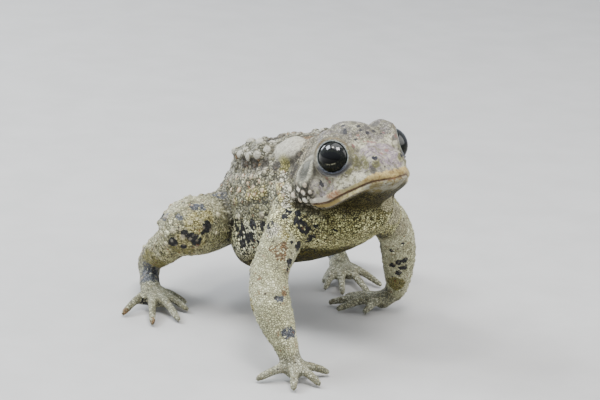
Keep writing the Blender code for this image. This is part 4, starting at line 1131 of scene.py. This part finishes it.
def eyeball(side):
    """A ball with its pattern laid out as seen along the line of sight, in millimetres from the middle."""
    word = "left" if side > 0 else "right"
    gaze, across, upright = eye_axes(side)
    turn = Matrix((across, upright, gaze)).transposed().to_4x4()
    mesh = bmesh.new()
    bmesh.ops.create_uvsphere(mesh, u_segments=96, v_segments=64, radius=1)
    sheet = mesh.loops.layers.uv.new("across_the_eye")
    for face in mesh.faces:
        for corner in face.loops:
            corner[sheet].uv = corner.vert.co.xy * EYE_RADIUS / EYE_SHEET + Vector((0.5, 0.5))
    radius = EYE_RADIUS * BALL_SHARE
    for vertex in mesh.verts:
        bulge = 1 + CORNEA_BULGE * float(blend_in((1 - vertex.co.z) / 0.6))
        vertex.co = (turn @ (vertex.co * radius * bulge) + eye_centre(side)) * MM
    ball = new_object(mesh, f"eyeball_{word}")
    ball.data.materials.append(eye_material)
    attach(ball, "root")
    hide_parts(f"eye_{word}")
    return ball


def toad_eye():
    paint = Shader("toad eye")
    sheet = paint.add("ShaderNodeUVMap", uv_map="across_the_eye").outputs[0]
    half = EYE_SHEET / 2
    laid_out = {0: sheet, 1: (EYE_SHEET, EYE_SHEET, 0), 2: (-half, -half, 0)}
    flat = paint.add("ShaderNodeVectorMath", laid_out, operation="MULTIPLY_ADD").outputs[0]
    parts = paint.add("ShaderNodeSeparateXYZ", {0: flat}).outputs
    far = paint.add("ShaderNodeVectorMath", {0: flat}, operation="LENGTH").outputs["Value"]
    wide = paint.math("DIVIDE", parts[0], PUPIL_WIDE)
    tall = paint.math("DIVIDE", parts[1], PUPIL_TALL)
    pupil = paint.line(tall, tall, paint.product(wide, wide))
    pupil = paint.math("SQRT", pupil)
    veins = paint.noise(flat, 2.2, 5.0, 0.7)
    iris = paint.fade(veins, 0.42, 0.62, (0.0015, 0.002, 0.0015), (0.012, 0.0135, 0.008))
    flecks = paint.product(paint.ramp(veins, 0.56, 0.70), paint.ramp(parts[1], -1.4, -2.2))
    iris = paint.laid(iris, flecks, (0.10, 0.055, 0.014), 0.6)
    aside = paint.math("ABSOLUTE", parts[0])
    ring = paint.product(paint.ramp(pupil, 1.36, 1.14), paint.ramp(pupil, 1.0, 1.08))
    ring = paint.product(ring, paint.ramp(aside, 1.5, 0.8))
    ring = paint.product(ring, paint.ramp(parts[1], -0.5, -0.9))
    gold = paint.product(paint.product(ring, paint.ramp(aside, 0.0, 0.25)), paint.ramp(veins, 0.34, 0.58))
    iris = paint.laid(iris, gold, (0.26, 0.25, 0.17), 0.8)
    iris = paint.fade(far, 3.2, 3.8, iris, (0.010, 0.012, 0.009))
    iris = paint.fade(pupil, 1.06, 1.0, iris, (0.0008, 0.0008, 0.0008))
    wet = paint.line(paint.ramp(parts[1], -1.4, 1.2), 0.86, 0.14)
    paint.out(Base_Color=iris, Roughness=0.3, Specular_IOR_Level=0.03)
    paint.out(Coat_Weight=wet, Coat_Roughness=0.01, Coat_IOR=1.5)
    paint.out(Normal=paint.bump(paint.product(veins, 0.02)))
    return paint.material


eye_material = toad_eye()
for side in (-1, 1):
    eyeball(side)


def floor_material():
    paint = Shader("pale floor")
    place = paint.add("ShaderNodeTexCoord").outputs["Object"]
    grain = paint.noise(place, 60.0, 5.0)
    colour = paint.fade(grain, 0.3, 0.7, (0.44, 0.43, 0.415), (0.47, 0.46, 0.445))
    paint.out(Base_Color=colour, Roughness=0.8, Normal=paint.bump(grain, 0.3, 0.3 * MM))
    return paint.material


mesh = bmesh.new()
bmesh.ops.create_grid(mesh, x_segments=1, y_segments=1, size=2.0)
floor = new_object(mesh, "floor", floor_material())
floor.location.z = -FLOOR_GAP * MM

world = bpy.data.worlds.new("soft sky")
bpy.context.scene.world = world
world.use_nodes = True
sky = world.node_tree.nodes["Background"].inputs
sky["Color"].default_value = (0.80, 0.87, 1.0, 1)
sky["Strength"].default_value = 0.62


def lamp(name, at, size, power, tint=(1, 1, 1)):
    """A soft lamp that aims at the middle of the toad."""
    light = bpy.data.lights.new(name, "AREA")
    light.shape = "RECTANGLE"
    light.size, light.size_y = size
    light.energy = power
    light.color = tint
    thing = bpy.data.objects.new(name, light)
    thing.location = at
    thing.rotation_euler = (Vector(TOAD_MIDDLE) - Vector(at)).to_track_quat("-Z", "Y").to_euler()
    bpy.context.scene.collection.objects.link(thing)


# The photograph's camera, worked out from the pose and outline: how it is turned, what it looks at and from
# how far, in millimetres, and its focal length in picture points of a picture so many points wide
CAMERA_TURN, CAMERA_RISE, CAMERA_ROLL = math.radians(-33.26), math.radians(16.635), math.radians(3.162)
LOOKS_AT, CAMERA_AWAY = (-1.64, 15.09, 32.31), 620
FOCAL_POINTS, PICTURE_POINTS, SENSOR = 2443.5, 600, 36
level_right = Vector((math.cos(CAMERA_TURN), math.sin(CAMERA_TURN), 0))
level_back = Vector((math.sin(CAMERA_TURN), -math.cos(CAMERA_TURN), 0))
BACK = level_back * math.cos(CAMERA_RISE) + Vector((0, 0, math.sin(CAMERA_RISE)))
level_up = BACK.cross(level_right)
RIGHT = math.cos(CAMERA_ROLL) * level_right + math.sin(CAMERA_ROLL) * level_up
UP = math.cos(CAMERA_ROLL) * level_up - math.sin(CAMERA_ROLL) * level_right


def mirrored_in_eye(aside, above):
    """The way a lamp must lie for the near eye to mirror it there, in shares of the eyeball's radius."""
    toward = math.sqrt(1 - aside**2 - above**2)
    face = RIGHT * aside + UP * above + BACK * toward
    return (2 * toward * face - BACK).normalized()


def lamp_in_eye(name, aside, above, distance, size, power, tint=(1, 1, 1)):
    at = eye_centre(-1) * MM + mirrored_in_eye(aside, above) * distance
    lamp(name, at, size, power, tint)


lamp("broad sky", (0.0, 0.02, 0.80), (0.8, 0.6), 4.4, (0.97, 0.98, 1.0))
lamp_in_eye("open sky behind", -0.46, 0.50, 0.62, (0.28, 0.20), 4.2, (0.88, 0.94, 1.0))
lamp_in_eye("bright gap right", 0.07, 0.43, 0.60, (0.19, 0.19), 3.4)
lamp_in_eye("bright gap middle", -0.20, 0.50, 0.62, (0.10, 0.08), 1.0, (1.0, 1.0, 0.9))
lamp_in_eye("bright gap left", -0.70, 0.58, 0.62, (0.22, 0.18), 1.5, (0.90, 0.95, 1.0))
lamp("broad light ahead", (0.45, -0.35, 0.35), (0.6, 0.5), 3.0, (1.0, 0.99, 0.95))


def photo_camera():
    at = (placed(LOOKS_AT) + BACK * CAMERA_AWAY) * MM
    lens = bpy.data.cameras.new("camera")
    lens.lens = FOCAL_POINTS * SENSOR / PICTURE_POINTS
    lens.sensor_width = SENSOR
    lens.clip_start = 0.01
    camera = bpy.data.objects.new("camera", lens)
    camera.matrix_world = Matrix((RIGHT, UP, BACK)).transposed().to_4x4()
    camera.matrix_world.translation = at
    bpy.context.scene.collection.objects.link(camera)
    bpy.context.scene.camera = camera


photo_camera()
